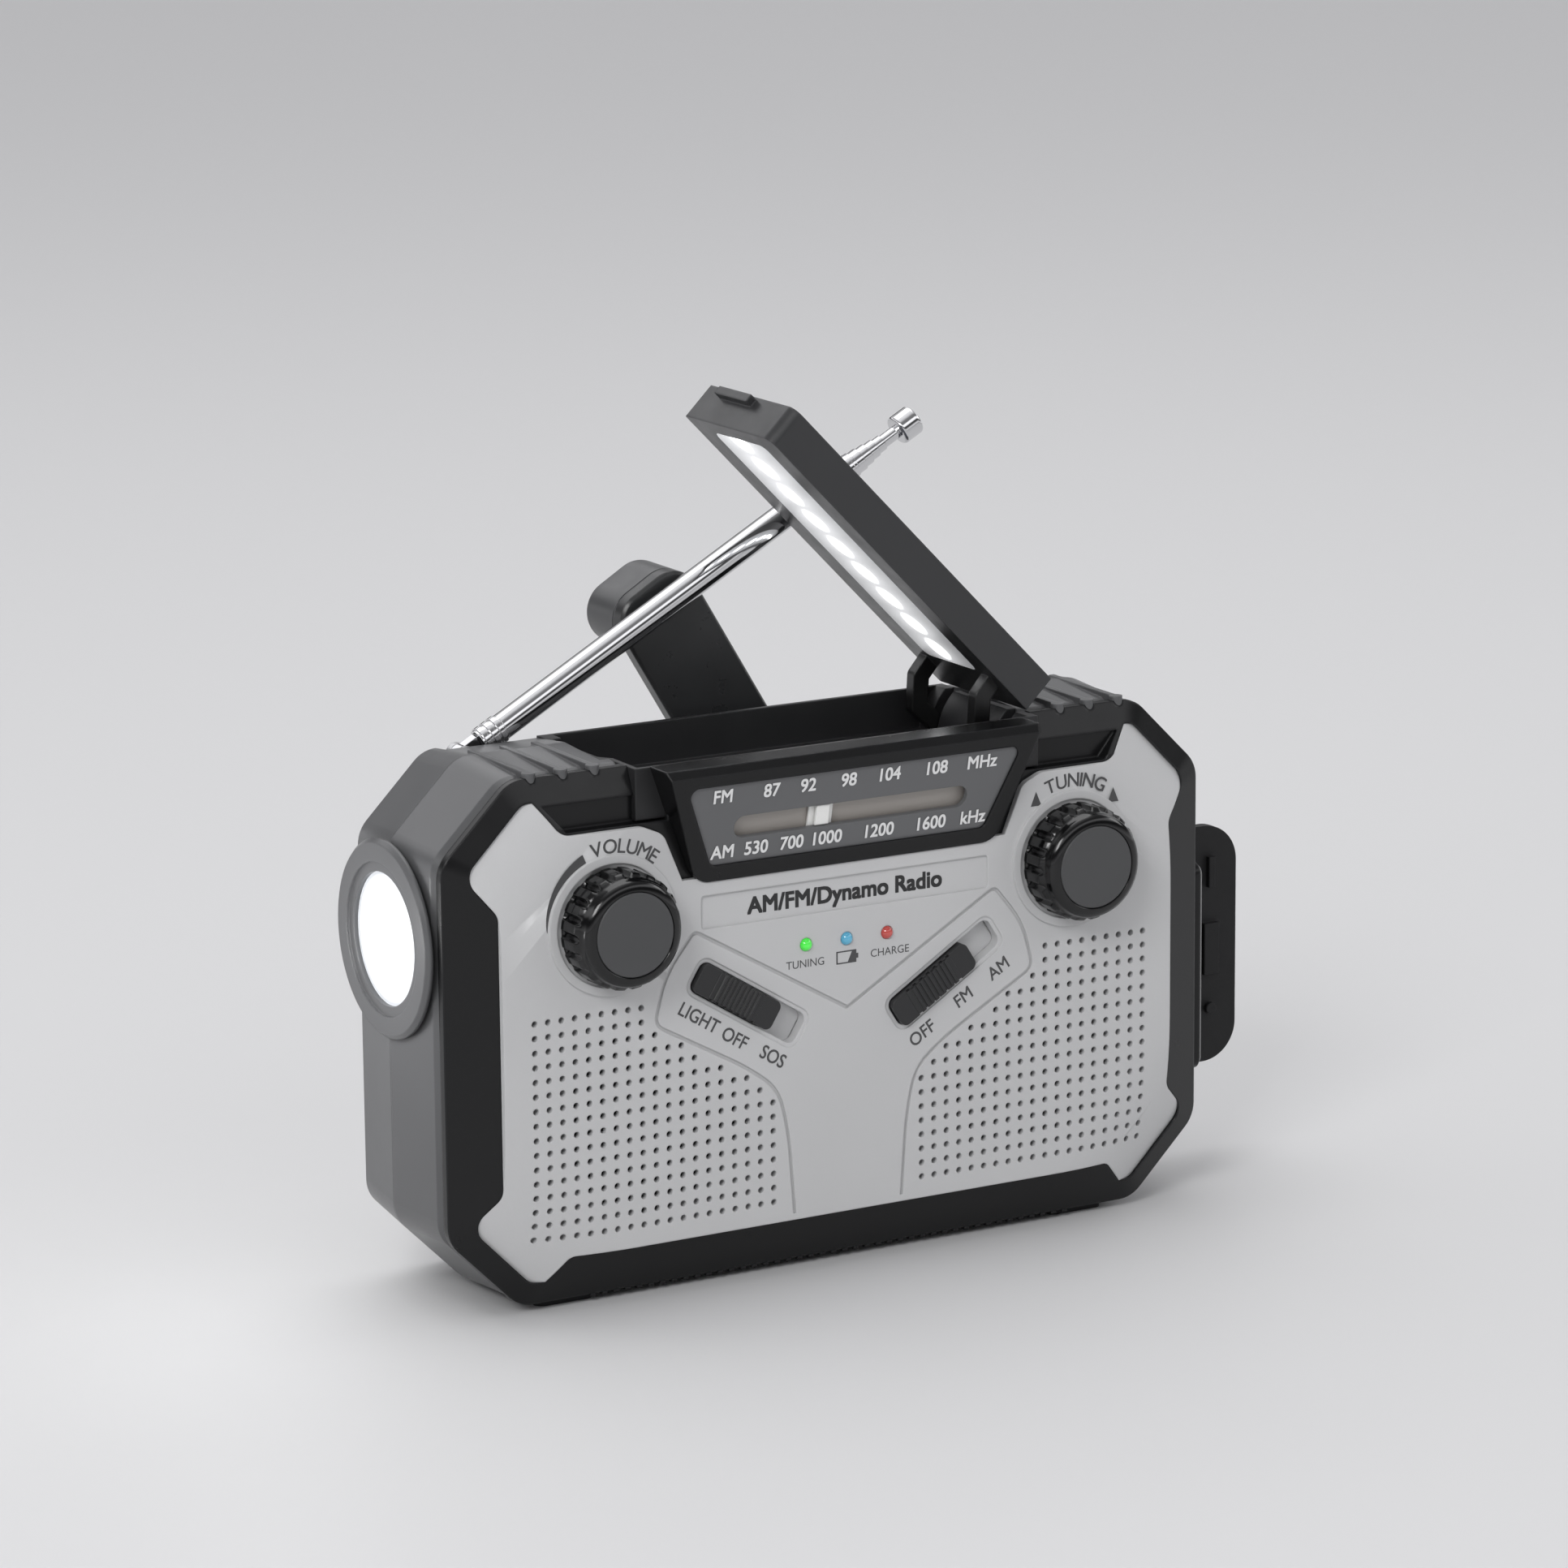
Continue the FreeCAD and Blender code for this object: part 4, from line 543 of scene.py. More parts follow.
def path_strip(points, width):
    """Outline of a mitred strip of a width along an open (x, z) path."""
    left, right = [], []
    n = len(points)
    for i, (x, z) in enumerate(points):
        ax, az = points[max(i - 1, 0)]
        bx, bz = points[min(i + 1, n - 1)]
        dirs = []
        if i > 0:
            dirs.append(Vector((x - ax, z - az)).normalized())
        if i < n - 1:
            dirs.append(Vector((bx - x, bz - z)).normalized())
        mean = sum(dirs, Vector((0.0, 0.0))).normalized()
        side = Vector((-mean.y, mean.x))
        across = width / 2.0
        if len(dirs) == 2:
            across /= max(0.35, side.dot(Vector((-dirs[0].y, dirs[0].x))))
        left.append((x + side.x * across, z + side.y * across))
        right.append((x - side.x * across, z - side.y * across))
    return left + right[::-1]


def smooth_corner(points, radii, steps=5):
    """Round the inner corners of an open path."""
    out = [points[0]]
    for i in range(1, len(points) - 1):
        p = Vector(points[i])
        a = Vector(points[i - 1]) - p
        b = Vector(points[i + 1]) - p
        t = min(radii[i - 1], a.length * 0.45, b.length * 0.45)
        pa, pb = p + a.normalized() * t, p + b.normalized() * t
        for s in range(steps + 1):
            u = s / steps
            q = pa * (1 - u) ** 2 + p * 2 * u * (1 - u) + pb * u ** 2
            out.append((q.x, q.y))
    out.append(points[-1])
    return out


# ---------- perforated front panel
ROWS = (9, 9, 10, 12, 13, 15, 17, 18) + (19,) * 8      # holes in each row, from the top
GRILLE_OUT = 77.5                                       # outermost column
GRILLE_TOP = 66.6                                       # topmost row
# left half of the parting line, from its foot to the middle of the panel, and its corner radii
PARTING_LINE = ((-13.7, 14.5), (-15.1, 33.0), (-17.5, 43.5), (-25.6, 49.6), (-48.2, 62.2),
                (-45.6, 72.8), (-38.2, 81.9), (0.0, 59.6))
PARTING_ROUNDS = (8.0, 6.0, 8.0, 2.4, 6.0, 1.6)
GROOVE_WIDTH, GROOVE_DEPTH = 0.7, 0.5
WELL_LENGTH, WELL_WIDTH, WELL_ROUND, WELL_DEPTH = 16.2, 4.6, 2.6, 0.3     # half sizes, round a switch
CUTTER_PROUD = 1.0                                      # how far a cutter stands out of the panel
CORNER_STEPS = 5


def hole_points():
    """One point on the panel's face for each hole."""
    bm = bmesh.new()
    for r, count in enumerate(ROWS):
        z = GRILLE_TOP - r * HOLE_PITCH
        for c in range(count):
            for s in (-1, 1):
                bm.verts.new((s * (GRILLE_OUT - c * HOLE_PITCH) * MM, FACE * MM, z * MM))
    return linked("hole_points", plain_mesh(bm, "hole_points"))


def groove_cutters():
    """Parting lines of the front panel and wells round its switches, mirrored left and right."""
    bm = bmesh.new()
    outline = smooth_corner(PARTING_LINE, PARTING_ROUNDS)
    for s in (-1, 1):
        pts = [(s * -x, z) for x, z in outline]
        prism(bm, path_strip(pts, GROOVE_WIDTH), FACE - CUTTER_PROUD, FACE + GROOVE_DEPTH)
    u, v = WELL_LENGTH - WELL_ROUND, WELL_WIDTH - WELL_ROUND
    for s in (-1, 1):
        ring = []
        for cx, cz, start in ((u, v, 0), (-u, v, 90), (-u, -v, 180), (u, -v, 270)):
            for k in range(CORNER_STEPS):
                a = math.radians(start + 90.0 / (CORNER_STEPS - 1) * k)
                ring.append((cx + WELL_ROUND * math.cos(a), cz + WELL_ROUND * math.sin(a)))
        turn = s * SWITCH_TILT
        pts = [(s * SWITCH[0] + x * math.cos(turn) - z * math.sin(turn),
                SWITCH[1] + x * math.sin(turn) + z * math.cos(turn)) for x, z in ring]
        prism(bm, pts, FACE - CUTTER_PROUD, FACE + WELL_DEPTH)
    return linked("groove_cutters", mesh_from(bm, "groove_cutters"))


def perforation_tree():
    """Geometry nodes: cut a round hole through the panel at every point, then the grooves."""
    g, t = new_group(
        "perforated_panel", "GeometryNodeTree",
        [("Panel", "NodeSocketGeometry", None), ("Holes", "NodeSocketObject", None),
         ("Grooves", "NodeSocketObject", None), ("Hole Radius", "NodeSocketFloat", 0.0007),
         ("Hole Depth", "NodeSocketFloat", 0.008), ("Sides", "NodeSocketInt", 10),
         ("Finish", "NodeSocketMaterial", None)],
        [("Panel", "NodeSocketGeometry")])
    gi = t.add("NodeGroupInput").outputs
    go = t.add("NodeGroupOutput").inputs
    points = t.add("GeometryNodeObjectInfo", {"Object": gi["Holes"]}).outputs["Geometry"]
    grooves = t.add("GeometryNodeObjectInfo", {"Object": gi["Grooves"]}).outputs["Geometry"]
    drill = t.add("GeometryNodeMeshCylinder", {"Vertices": gi["Sides"], "Radius": gi["Hole Radius"],
                                               "Depth": gi["Hole Depth"]}, fill_type="NGON")
    lay = t.add("GeometryNodeTransform", {"Geometry": drill.outputs["Mesh"],
                                          "Rotation": (math.pi / 2.0, 0.0, 0.0)})
    drills = t.add("GeometryNodeInstanceOnPoints", {"Points": points, "Instance": lay.outputs[0]})
    solid = t.add("GeometryNodeRealizeInstances", {"Geometry": drills.outputs[0]})
    cut = t.add("GeometryNodeMeshBoolean", operation="DIFFERENCE", solver="EXACT")
    t.link(gi["Panel"], cut.inputs["Mesh 1"])
    t.link(solid.outputs[0], cut.inputs["Mesh 2"])
    t.link(grooves, cut.inputs["Mesh 2"])
    whole = t.add("GeometryNodeRealizeInstances", {"Geometry": cut.outputs["Mesh"]})
    done = t.add("GeometryNodeSetMaterial", {"Geometry": whole.outputs[0], "Material": gi["Finish"]})
    t.link(done.outputs[0], go["Panel"])
    return g


def run_tree(obj, tree, values, name):
    """Evaluate a geometry-nodes tree on an object and return its result as a plain mesh."""
    mod = obj.modifiers.new("tree", "NODES")
    mod.node_group = tree
    for item in tree.interface.items_tree:
        if item.item_type == "SOCKET" and item.in_out == "INPUT" and item.name in values:
            mod[item.identifier] = values[item.name]
    bpy.context.view_layer.update()
    evaluated = obj.evaluated_get(bpy.context.evaluated_depsgraph_get())
    mesh = bpy.data.meshes.new_from_object(evaluated)
    mesh.name = name
    obj.modifiers.remove(mod)
    return mesh


def merged_copy(node):
    """A joined-up copy of a CAD node's loose triangles."""
    bm = bmesh.new()
    bm.from_mesh(nodes[node].data)
    bmesh.ops.remove_doubles(bm, verts=bm.verts, dist=1e-6)
    bmesh.ops.dissolve_limit(bm, angle_limit=math.radians(0.1), verts=bm.verts, edges=bm.edges)
    return linked(node + "_copy", plain_mesh(bm, node + "_copy"))


panel_base = merged_copy("front_panel")
holes = hole_points()
grooves = groove_cutters()
panel_mesh = run_tree(panel_base, perforation_tree(),
                      {"Holes": holes, "Grooves": grooves, "Hole Radius": HOLE_RADIUS * MM,
                       "Finish": finish["pale_panel"]}, "perforated_panel")
for scrap in (panel_base, holes, grooves):
    bpy.data.objects.remove(scrap)
panel_mesh.shade_smooth()
panel_mesh.set_sharp_from_angle(angle=math.radians(9.0))
panel = add_piece("perforated_panel", panel_mesh, "pale_panel", "case")
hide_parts("front_panel")


# ---------- knob collars and slide switches
def revolve(bm, profile, centre, steps=72):
    """Turn a closed (radius, depth) profile in mm about an axis along Y."""
    rings = []
    for k in range(steps):
        a = 2.0 * math.pi * k / steps
        rings.append([bm.verts.new(((centre[0] + r * math.cos(a)) * MM, y * MM,
                                    (centre[1] + r * math.sin(a)) * MM)) for r, y in profile])
    n = len(profile)
    for k in range(steps):
        ring_a, ring_b = rings[k], rings[(k + 1) % steps]
        for i in range(n):
            bm.faces.new((ring_a[i], ring_a[(i + 1) % n], ring_b[(i + 1) % n], ring_b[i]))


def on_face(profile):
    """A (radius, depth) profile with its depths counted from the face plane."""
    return [(r, FACE + y) for r, y in profile]


COLLAR_PROFILE = ((13.5, 0.2), (13.5, -0.35), (14.0, -0.6), (14.6, -0.6), (15.2, -0.38), (15.6, 0.2))
collars = bmesh.new()
for side in (-1, 1):
    revolve(collars, on_face(COLLAR_PROFILE), (side * KNOB[0], KNOB[1]))
add_piece("knob_collars", mesh_from(collars, "knob_collars", 50.0), "pale_panel", "case")

KNOB_FLUTES, FLUTE_STEPS, FLUTE_DEPTH = 20, 12, 1.1
# radius, depth from the face plane, and how much of the flutes' depth is cut there
KNOB_PROFILE = (
    (5.0, -0.5, 0.0), (12.6, -0.5, 0.0), (13.0, -0.9, 1.0), (13.0, -6.6, 1.0), (12.85, -7.1, 0.75),
    (12.2, -7.7, 0.0), (11.9, -8.0, 0.0), (11.75, -9.3, 0.0), (11.45, -9.9, 0.0), (10.6, -10.45, 0.0),
    (9.6, -10.62, 0.0), (9.45, -10.5, 0.0), (9.4, -9.9, 0.0))
CAP_PROFILE = ((0.4, -9.8), (9.3, -9.8), (9.3, -10.45), (9.1, -10.62), (0.4, -10.66))
CAP_STEPS = 96
HUB_R, HUB_SIDES = 0.401, 24        # fills the cap's middle


def fluted_knob(centre):
    """A gloss knob: a fluted skirt, a smooth drum and a rounded lip round the cap's seat."""
    bm = bmesh.new()
    steps = KNOB_FLUTES * FLUTE_STEPS
    rings = []
    for r, y, cut in KNOB_PROFILE:
        ring = []
        for k in range(steps):
            a = 2.0 * math.pi * k / steps
            scoop = max(0.0, math.cos(KNOB_FLUTES * a)) ** 0.7
            radius = r - FLUTE_DEPTH * cut * scoop
            ring.append(bm.verts.new(((centre[0] + radius * math.cos(a)) * MM, (FACE + y) * MM,
                                      (centre[1] + radius * math.sin(a)) * MM)))
        rings.append(ring)
    for low, high in zip(rings, rings[1:]):
        for k in range(steps):
            m = (k + 1) % steps
            bm.faces.new((low[k], low[m], high[m], high[k]))
    bm.faces.new(rings[0])
    bm.faces.new(rings[-1][::-1])
    return bm


def knob_cap(centre):
    """The flat cap, with a fine rounded rim."""
    bm = bmesh.new()
    revolve(bm, on_face(CAP_PROFILE), centre, CAP_STEPS)
    hub = [2.0 * math.pi * k / HUB_SIDES for k in range(HUB_SIDES)]
    prism(bm, [(centre[0] + HUB_R * math.cos(a), centre[1] + HUB_R * math.sin(a)) for a in hub],
          FACE - 9.79, FACE + CAP_PROFILE[-1][1])
    return bm


for side, body in ((-1, "volume"), (1, "tuning")):
    centre = (side * KNOB[0], KNOB[1])
    for part, build, look, slot, node in (("_skirt", fluted_knob, "gloss_black", "knob_black", "_knob"),
                                          ("_face", knob_cap, "knob_face", "knob_cap", "_cap")):
        mesh = mesh_from(build(centre), body + part, 40.0)
        piece = add_piece(body + part, mesh, look, body)
        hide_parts(body + node)


def rib_row_tree():
    """Geometry nodes: a row of equal square ribs."""
    g, t = new_group("rib_row", "GeometryNodeTree",
                     [("Geometry", "NodeSocketGeometry", None), ("Count", "NodeSocketInt", 9),
                      ("Pitch", "NodeSocketFloat", 0.001), ("Rib Size", "NodeSocketVector", (0.001,) * 3),
                      ("Finish", "NodeSocketMaterial", None)],
                     [("Geometry", "NodeSocketGeometry")])
    gi = t.add("NodeGroupInput").outputs
    go = t.add("NodeGroupOutput").inputs
    step = t.add("ShaderNodeCombineXYZ", {"X": gi["Pitch"]})
    run = t.math("MULTIPLY", t.math("SUBTRACT", gi["Count"], 1.0), gi["Pitch"])
    first = t.add("ShaderNodeCombineXYZ", {"X": t.math("MULTIPLY", run, -0.5)})
    line = t.add("GeometryNodeMeshLine", {"Count": gi["Count"], "Start Location": first.outputs[0],
                                          "Offset": step.outputs[0]})
    rib = t.add("GeometryNodeMeshCube", {"Size": gi["Rib Size"]})
    row = t.add("GeometryNodeInstanceOnPoints", {"Points": line.outputs[0], "Instance": rib.outputs["Mesh"]})
    real = t.add("GeometryNodeRealizeInstances", {"Geometry": row.outputs[0]})
    done = t.add("GeometryNodeSetMaterial", {"Geometry": real.outputs[0], "Material": gi["Finish"]})
    t.link(done.outputs[0], go["Geometry"])
    return g


rib_row = rib_row_tree()


def ribs_mesh(name, count, pitch, size, material):
    """A row of ribs along X about the origin, all sizes in mm."""
    seed = linked("seed", bpy.data.meshes.new("seed"))
    mesh = run_tree(seed, rib_row, {"Count": count, "Pitch": pitch * MM,
                                    "Rib Size": [v * MM for v in size], "Finish": finish[material]}, name)
    bpy.data.objects.remove(seed)
    return mesh


def at_switch(side, along=0.0):
    """Matrix that carries a shape built at the origin to a slide switch."""
    place = Matrix.Translation((side * SWITCH[0] * MM, FACE * MM, SWITCH[1] * MM))
    return place @ Matrix.Rotation(-side * SWITCH_TILT, 4, "Y") @ Matrix.Translation((along * MM, 0.0, 0.0))


SLIDER_AT = -3.85           # the sliders rest this far along their slots
SLIDER_FRONT = -1.2         # their front, from the face plane
GRIP_RIBS, GRIP_PITCH, GRIP_RIB = 9, 1.22, (0.62, 0.75, 6.3)
GRIP_PAD = (-6.6, -3.1, 6.6, 3.1)
SHUTTER = (-19.1, -4.9, 19.1, 4.9)      # pale plate that closes the slot behind a slider
SHUTTER_FRONT, SHUTTER_BACK = 3.05, 3.2
for side, body in ((-1, "light_switch"), (1, "band_switch")):
    tag = body.split("_")[0]
    mesh = ribs_mesh(tag + "_grip", GRIP_RIBS, GRIP_PITCH, GRIP_RIB, "switch_black")
    mesh.transform(at_switch(side, SLIDER_AT) @ Matrix.Translation((0.0, (SLIDER_FRONT - 0.1) * MM, 0.0)))
    pad = bmesh.new()
    prism(pad, rectangle(*GRIP_PAD), SLIDER_FRONT - 0.08, SLIDER_FRONT + 0.7)
    pad_mesh = mesh_from(pad, tag + "_pad")
    pad_mesh.transform(at_switch(side, SLIDER_AT))
    grip = bmesh.new()
    grip.from_mesh(mesh)
    grip.from_mesh(pad_mesh)
    add_piece(tag + "_grip", mesh_from(grip, tag + "_grip"), "switch_black", body)
    shutter = bmesh.new()
    prism(shutter, rectangle(*SHUTTER), SHUTTER_FRONT, SHUTTER_BACK)
    shutter_mesh = mesh_from(shutter, tag + "_shutter")
    shutter_mesh.transform(at_switch(side, SLIDER_AT))
    add_piece(tag + "_shutter", shutter_mesh, "pale_panel", body)

SOLE_RIBS, SOLE_PITCH, SOLE_RIB = 43, 2.9, (1.3, 5.0, 0.75)
sole = ribs_mesh("sole_ribs", SOLE_RIBS, SOLE_PITCH, SOLE_RIB, "dark_frame")
sole.transform(Matrix.Translation((0.0, (FACE + 9.0) * MM, 1.75 * MM)))
add_piece("sole_ribs", sole, "dark_frame", "case")


# ---------- printed lettering
CAP_HEIGHT = 0.69           # of the lettering at size 1
INK_DEPTH = 0.06
STRIKE_LIFT = 0.012         # each strike of a bold letter lies this far over the last
BOLD_STRIKES = ((-1, -1), (1, -1), (1, 1), (-1, 1))


def letter_mesh(text, height):
    """Flat letters centred on the origin, cap height in mm, lying in X and Z."""
    curve = bpy.data.curves.new("letters", "FONT")
    curve.body = text
    curve.resolution_u = 4
    curve.fill_mode = "FRONT"
    obj = linked("letters", curve)
    bpy.context.view_layer.update()
    mesh = bpy.data.meshes.new_from_object(obj.evaluated_get(bpy.context.evaluated_depsgraph_get()))
    bpy.data.objects.remove(obj)
    xs = [v.co.x for v in mesh.vertices]
    k = height / CAP_HEIGHT * MM
    mesh.transform(Matrix.Translation((-(min(xs) + max(xs)) / 2.0, -CAP_HEIGHT / 2.0, 0.0)))
    mesh.transform(Matrix.Diagonal((k, k, k, 1.0)))
    mesh.transform(Matrix.Rotation(math.pi / 2.0, 4, "X"))
    return mesh, (max(xs) - min(xs)) * k / MM


def thicken(mesh):
    """Give flat letters a back and sides."""
    bm = bmesh.new()
    bm.from_mesh(mesh)
    bmesh.ops.remove_doubles(bm, verts=bm.verts, dist=1e-7)
    got = bmesh.ops.extrude_face_region(bm, geom=list(bm.faces))
    moved = [v for v in got["geom"] if isinstance(v, bmesh.types.BMVert)]
    bmesh.ops.translate(bm, verts=moved, vec=(0.0, INK_DEPTH * MM, 0.0))
    bmesh.ops.recalc_face_normals(bm, faces=bm.faces)
    bm.to_mesh(mesh)
    bm.free()
    return mesh


class Print:
    """Collects letters and marks that share one ink into one mesh."""

    def __init__(self):
        self.bm = bmesh.new()

    def add(self, mesh, matrix, bold=0.0):
        """Strike the letters once, or four times a little apart for a heavier stroke."""
        mesh = thicken(mesh)
        for layer, (dx, dz) in enumerate(BOLD_STRIKES if bold else ((0, 0),)):
            copy = mesh.copy()
            lift = -STRIKE_LIFT * layer
            copy.transform(matrix @ Matrix.Translation((dx * bold * MM, lift * MM, dz * bold * MM)))
            self.bm.from_mesh(copy)
            bpy.data.meshes.remove(copy)
        bpy.data.meshes.remove(mesh)

    def words(self, text, x, z, height, tilt=0.0, bold=0.0, squeeze=1.0):
        """A line of words on the face plane, about its middle."""
        mesh, _ = letter_mesh(text, height)
        place = Matrix.Translation((x * MM, (FACE - INK_LIFT) * MM, z * MM))
        self.add(mesh, place @ Matrix.Rotation(-tilt, 4, "Y") @ Matrix.Diagonal((squeeze, 1, 1, 1)), bold)

    def arc(self, text, centre, radius, height, middle_deg, span_deg, bold=0.0):
        """Letters along an arc, spaced by their own widths to fill the span."""
        letters = [letter_mesh(ch, height) for ch in text]
        gap = (math.radians(span_deg) * radius - sum(w for _, w in letters)) / (len(text) - 1)
        run = -math.radians(span_deg) * radius / 2.0
        for mesh, width in letters:
            a = math.radians(middle_deg) - (run + width / 2.0) / radius
            run += width + gap
            place = Matrix.Translation(((centre[0] + radius * math.cos(a)) * MM, (FACE - INK_LIFT) * MM,
                                        (centre[1] + radius * math.sin(a)) * MM))
            self.add(mesh, place @ Matrix.Rotation(-(a - math.pi / 2.0), 4, "Y"), bold)

    def shape(self, outline):
        prism(self.bm, outline, FACE - INK_LIFT, FACE + INK_LIFT)

    def finish(self, name, ink, slot, place=None):
        """Make the collected print a piece of the case, carried to its place if one is given."""
        mesh = plain_mesh(self.bm, name)
        if place is not None:
            mesh.transform(place)
        return add_piece(name, mesh, ink, "case")


MARK_HEIGHT, SMALL_HEIGHT, PORT_HEIGHT, NAME_HEIGHT = 3.0, 1.75, 1.7, 3.6
ARC_HEIGHT, ARC_BOLD = 3.1, 0.035
SWITCH_STYLE = {"bold": 0.045, "squeeze": 0.92}
DIAL_STYLE = {"bold": 0.08, "squeeze": 0.92}

panel_print = Print()
panel_print.arc("VOLUME", (-KNOB[0], KNOB[1]), 17.4, ARC_HEIGHT, 78.5, 56.0, ARC_BOLD)
panel_print.arc("TUNING", KNOB, 17.9, ARC_HEIGHT, 86.0, 52.0, ARC_BOLD)
for side in (-1, 1):
    a = math.radians(86.0 + side * 36.5)
    cx, cz = KNOB[0] + 17.2 * math.cos(a), KNOB[1] + 17.2 * math.sin(a)
    panel_print.shape([(cx - 1.4, cz - 1.5), (cx, cz + 1.8), (cx + 1.4, cz - 1.5)])

# the wedge beside the volume knob, from its thick end to its thin one
WEDGE_R, WEDGE_FROM, WEDGE_SWEEP, WEDGE_STEPS = 15.7, 113.0, 66.0, 24
wedge_out, wedge_in = [], []
for k in range(WEDGE_STEPS + 1):
    part = k / WEDGE_STEPS
    a = math.radians(WEDGE_FROM + WEDGE_SWEEP * part)
    outer = WEDGE_R + 1.9 * (1.0 - part) ** 0.8 + 0.15
    wedge_out.append((-KNOB[0] + outer * math.cos(a), KNOB[1] + outer * math.sin(a)))
    wedge_in.append((-KNOB[0] + WEDGE_R * math.cos(a), KNOB[1] + WEDGE_R * math.sin(a)))
panel_print.shape(wedge_out + wedge_in[::-1])

for text, x, z, lean in (("LIGHT", -37.2, 62.4, -1), ("OFF", -28.4, 56.6, -1), ("SOS", -18.9, 51.1, -1),
                         ("OFF", 19.2, 51.0, 1), ("FM", 29.9, 57.8, 1), ("AM", 39.0, 63.1, 1)):
    panel_print.words(text, x, z, MARK_HEIGHT, tilt=lean * SWITCH_TILT, **SWITCH_STYLE)
panel_print.words("TUNING", -10.6, 71.0, SMALL_HEIGHT)
panel_print.words("CHARGE", 11.0, 71.0, SMALL_HEIGHT)
# the battery mark: four sides, the terminal and the half that is full
for sides in ((-2.7, 69.9, -2.35, 72.2), (-2.7, 72.2, 2.4, 72.5), (-2.7, 69.6, 2.4, 69.9),
              (2.05, 69.9, 2.4, 72.2), (2.4, 70.5, 2.9, 71.6)):
    panel_print.shape(rectangle(*sides))
panel_print.shape([(0.2, 69.9), (1.3, 72.2), (2.05, 72.2), (2.05, 69.9)])
panel_print.finish("panel_print", "dark_ink", "part_dark")

NAME_RECESS = 0.5           # depth of the plate that carries the radio's description
name_print = Print()
name_print.words("AM/FM/Dynamo Radio", 0.0, 85.7, NAME_HEIGHT, bold=0.16, squeeze=1.02)
name_print.finish("name_print", "black_ink", "part_dark", Matrix.Translation((0.0, NAME_RECESS * MM, 0.0)))

PORT_FACE, PORT_Y = 99.5, -7.0          # face of the port panel, and the line of its sockets
port_print = Print()
for text, z in (("DC IN", 73.6), ("USB", 58.2), ("PHONES", 39.4)):
    mesh, _ = letter_mesh(text, PORT_HEIGHT)
    place = Matrix.Translation(((PORT_FACE + INK_LIFT) * MM, PORT_Y * MM, z * MM))
    port_print.add(mesh, place @ Matrix.Rotation(math.pi / 2.0, 4, "Z"))
port_print.finish("port_print", "white_ink", "pointer_white")

DIAL_ROWS = (
    (112.0, (("FM", -33.1), ("87", -21.0), ("92", -11.9), ("98", -1.7), ("104", 8.8), ("108", 20.8),
             ("MHz", 32.4))),
    (99.0, (("AM", -31.9), ("530", -23.4), ("700", -14.5), ("1000", -5.5), ("1200", 7.7),
            ("1600", 21.0), ("kHz", 31.7))),
)
dial_print = Print()
for z, marks in DIAL_ROWS:
    up = BEZEL_LOW + (z - BEZEL_LOW) / math.cos(DIAL_SLOPE)
    for text, x in marks:
        dial_print.words(text, x, up, MARK_HEIGHT, **DIAL_STYLE)
pivot = Vector((0.0, DIAL_PIVOT * MM, BEZEL_LOW * MM))
tilt = Matrix.Translation(pivot) @ Matrix.Rotation(DIAL_SLOPE, 4, "X") @ Matrix.Translation(-pivot)
dial_print.finish("dial_print", "white_ink", "pointer_white",
                  tilt @ Matrix.Translation((0.0, (DIAL_FRONT - FACE) * MM, 0.0)))

TRACK_MID = BEZEL_LOW + 12.0
TRACK_HALF, TRACK_TALL = 32.0, 3.6
TRACK_FRONT, TRACK_BACK = 2.9, 3.4      # behind the tilted face
track = bmesh.new()
prism(track, rectangle(-TRACK_HALF, TRACK_MID - TRACK_TALL, TRACK_HALF, TRACK_MID + TRACK_TALL),
      DIAL_PIVOT + TRACK_FRONT, DIAL_PIVOT + TRACK_BACK)
track_mesh = mesh_from(track, "dial_track")
track_mesh.transform(tilt)
add_piece("dial_track", track_mesh, "dial_track", "case")


# ---------- floor, light and camera
def area(name, place, target, size, energy):
    """A square soft light aimed at a point."""
    data = bpy.data.lights.new(name, "AREA")
    data.energy = energy
    data.size = size
    obj = linked(name, data)
    obj.location = place
    aim = Vector(target) - Vector(place)
    obj.rotation_euler = aim.to_track_quat("-Z", "Y").to_euler()


def floor_material():
    """Pale matt paper."""
    m, t, shader = blank_material("studio_floor")
    paper = t.add("ShaderNodeTexNoise", {"Vector": t.place(), "Scale": 6.0, "Detail": 3.0})
    t.feed(shader, {"Base Color": t.mix(t.math("MULTIPLY", paper.outputs["Fac"], 0.06),
                                        (0.62, 0.62, 0.625, 1.0), (0.58, 0.58, 0.585, 1.0)),
                    "Roughness": 0.55, "Specular IOR Level": 0.3})
    return m


FLOOR_HALF = 9.0            # metres
floor_bm = bmesh.new()
floor_bm.faces.new([floor_bm.verts.new((x * FLOOR_HALF, y * FLOOR_HALF, 0.0))
                    for x, y in ((-1, -1), (1, -1), (1, 1), (-1, 1))])
floor = linked("studio_floor", plain_mesh(floor_bm, "studio_floor"))
floor.data.materials.append(floor_material())

for lamp in (("key_light", (-1.3, -1.1, 1.2), (0.0, 0.0, 0.08), 0.7, 15.0),
             ("top_light", (0.2, 0.6, 1.6), (0.0, 0.0, 0.1), 1.2, 8.0),
             ("right_light", (1.5, -0.3, 0.8), (0.05, 0.0, 0.08), 0.5, 1.5)):
    area(*lamp)

# height round the sphere, and the brightness there
SKY_BANDS = ((0.0, 0.75), (0.50, 0.80), (0.53, 0.55), (0.59, 0.06), (0.67, 0.05), (0.71, 1.0),
             (0.79, 1.15), (0.83, 0.15), (0.92, 0.2), (1.0, 0.9))
SKY_STRENGTH = 1.45


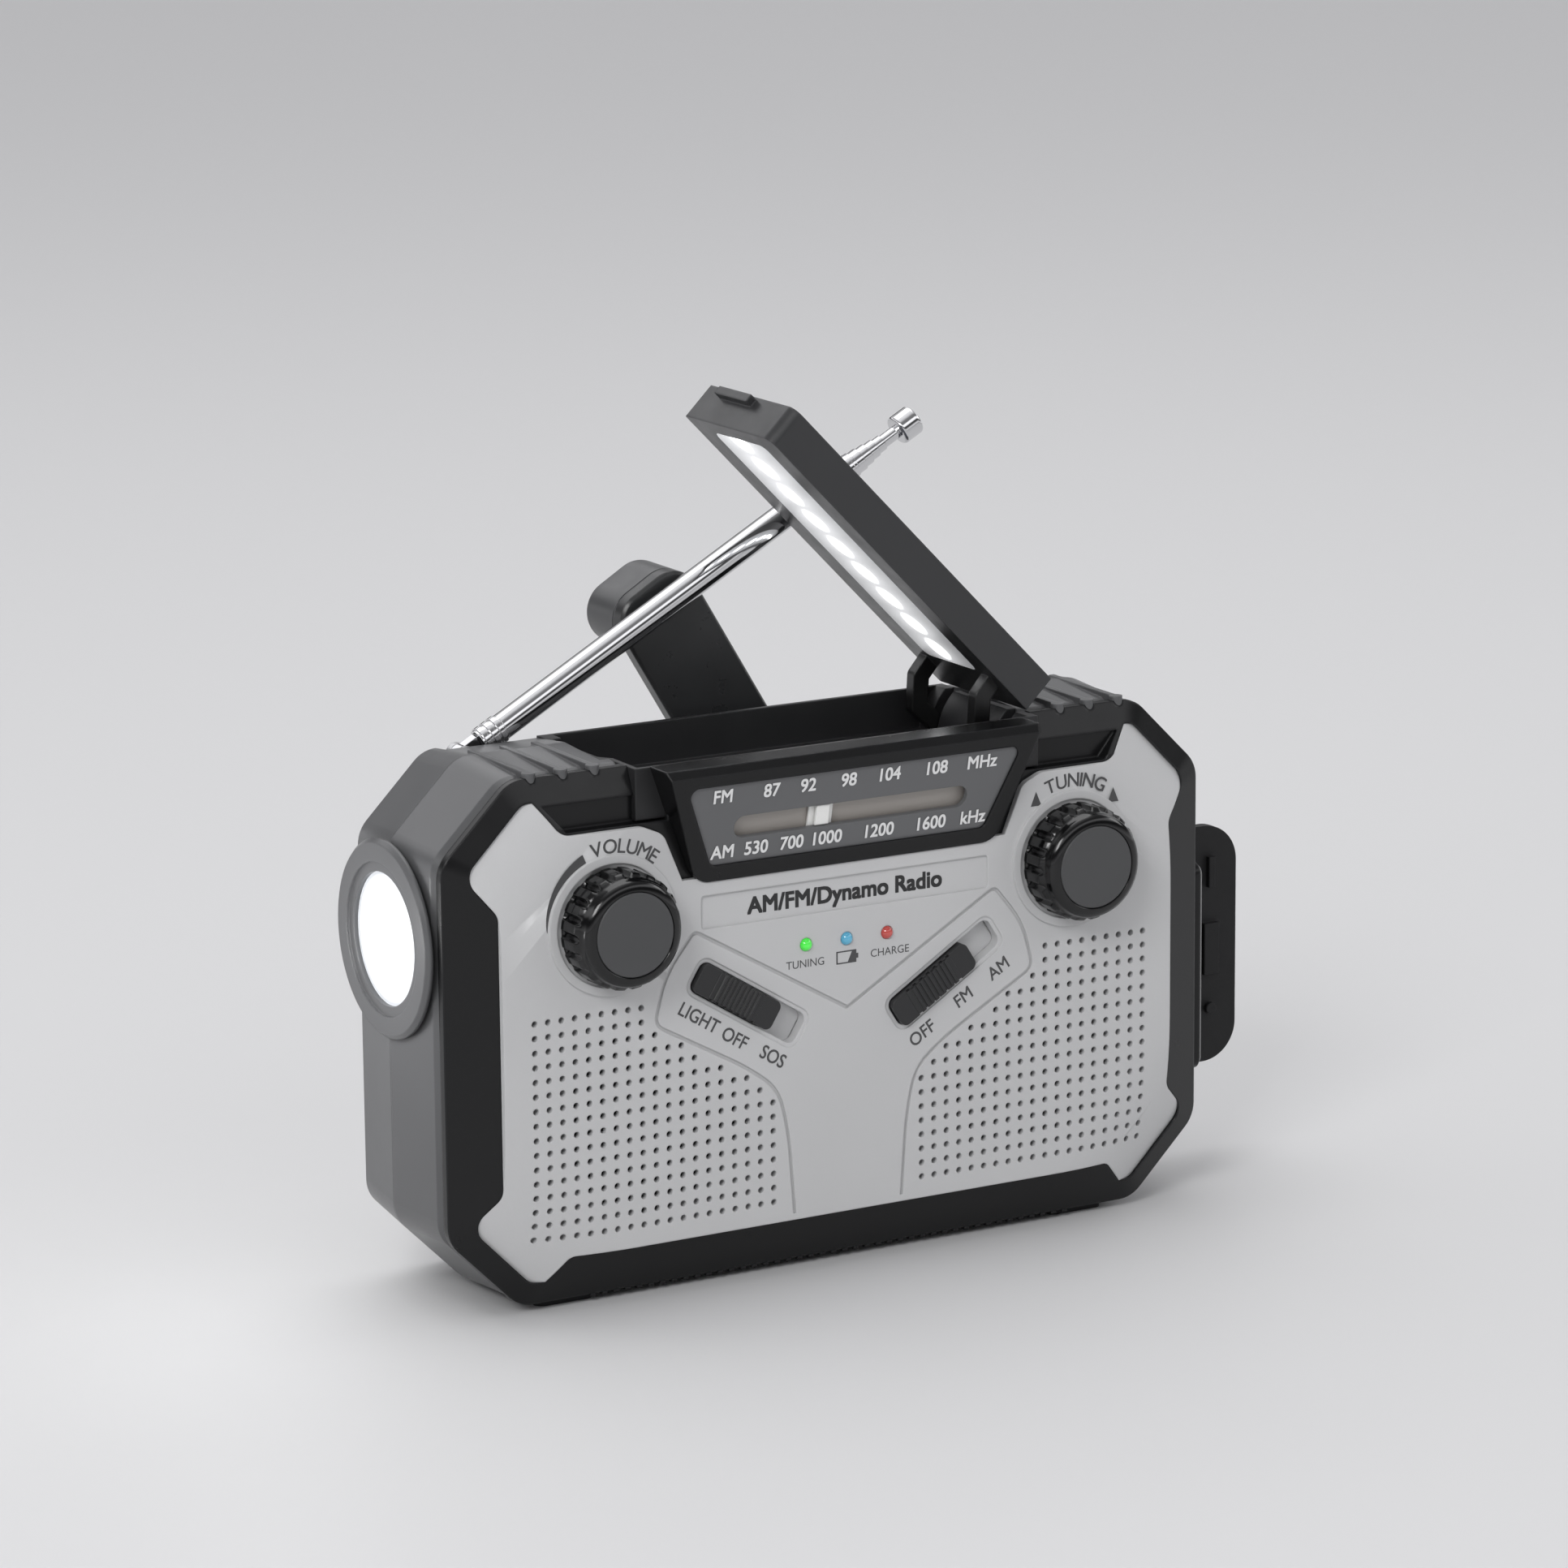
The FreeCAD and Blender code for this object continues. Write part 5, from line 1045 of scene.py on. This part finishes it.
def studio_world():
    """Soft bands of bright and dark round the set, so that bright metal shows streaks."""
    world = bpy.data.worlds.new("studio_world")
    world.use_nodes = True
    t = Tree(world.node_tree)
    split = t.add("ShaderNodeSeparateXYZ", {"Vector": t.add("ShaderNodeTexCoord").outputs["Generated"]})
    height = t.math("ADD", t.math("MULTIPLY", split.outputs["Z"], 0.5), 0.5)
    ramp = t.add("ShaderNodeValToRGB", {"Fac": height})
    stops = ramp.color_ramp.elements
    while len(stops) < len(SKY_BANDS):
        stops.new(0.5)
    for stop, (at, level) in zip(stops, SKY_BANDS):
        stop.position = at
        stop.color = (level, level, level * 1.02, 1.0)
    backdrop = world.node_tree.nodes["Background"]
    t.feed(backdrop, {"Color": ramp.outputs["Color"], "Strength": SKY_STRENGTH})
    return world


bpy.context.scene.world = studio_world()
bpy.context.scene.view_settings.view_transform = "Standard"

TORCH_GLOW_X = -128.0       # the flashlight's spill starts clear of its lens
glow = bpy.data.lights.new("torch_glow", "POINT")
glow.energy = 0.05
glow.shadow_soft_size = 0.012
linked("torch_glow", glow).location = (TORCH_GLOW_X * MM, TORCH[0] * MM, TORCH[1] * MM)

CAMERA_AT = (-0.6616, -1.1557, 0.4083)
AZIMUTH, ELEVATION, ROLL = math.radians(-29.765), math.radians(12.8314), math.radians(-0.51094)
FOCAL_PX, FRAME_PX = 7575.47, 1932.0
back = Vector((math.sin(AZIMUTH) * math.cos(ELEVATION), -math.cos(AZIMUTH) * math.cos(ELEVATION),
               math.sin(ELEVATION)))
level = (-back).cross(Vector((0.0, 0.0, 1.0))).normalized()
above = level.cross(-back)
right = level * math.cos(ROLL) + above * math.sin(ROLL)
upward = above * math.cos(ROLL) - level * math.sin(ROLL)
camera = bpy.data.cameras.new("camera")
camera.sensor_width = 36.0
camera.lens = FOCAL_PX / FRAME_PX * camera.sensor_width
camera_obj = linked("camera", camera)
turn = Matrix((right, upward, back)).transposed().to_4x4()
camera_obj.matrix_world = Matrix.Translation(CAMERA_AT) @ turn
bpy.context.scene.camera = camera_obj

bpy.context.view_layer.update()
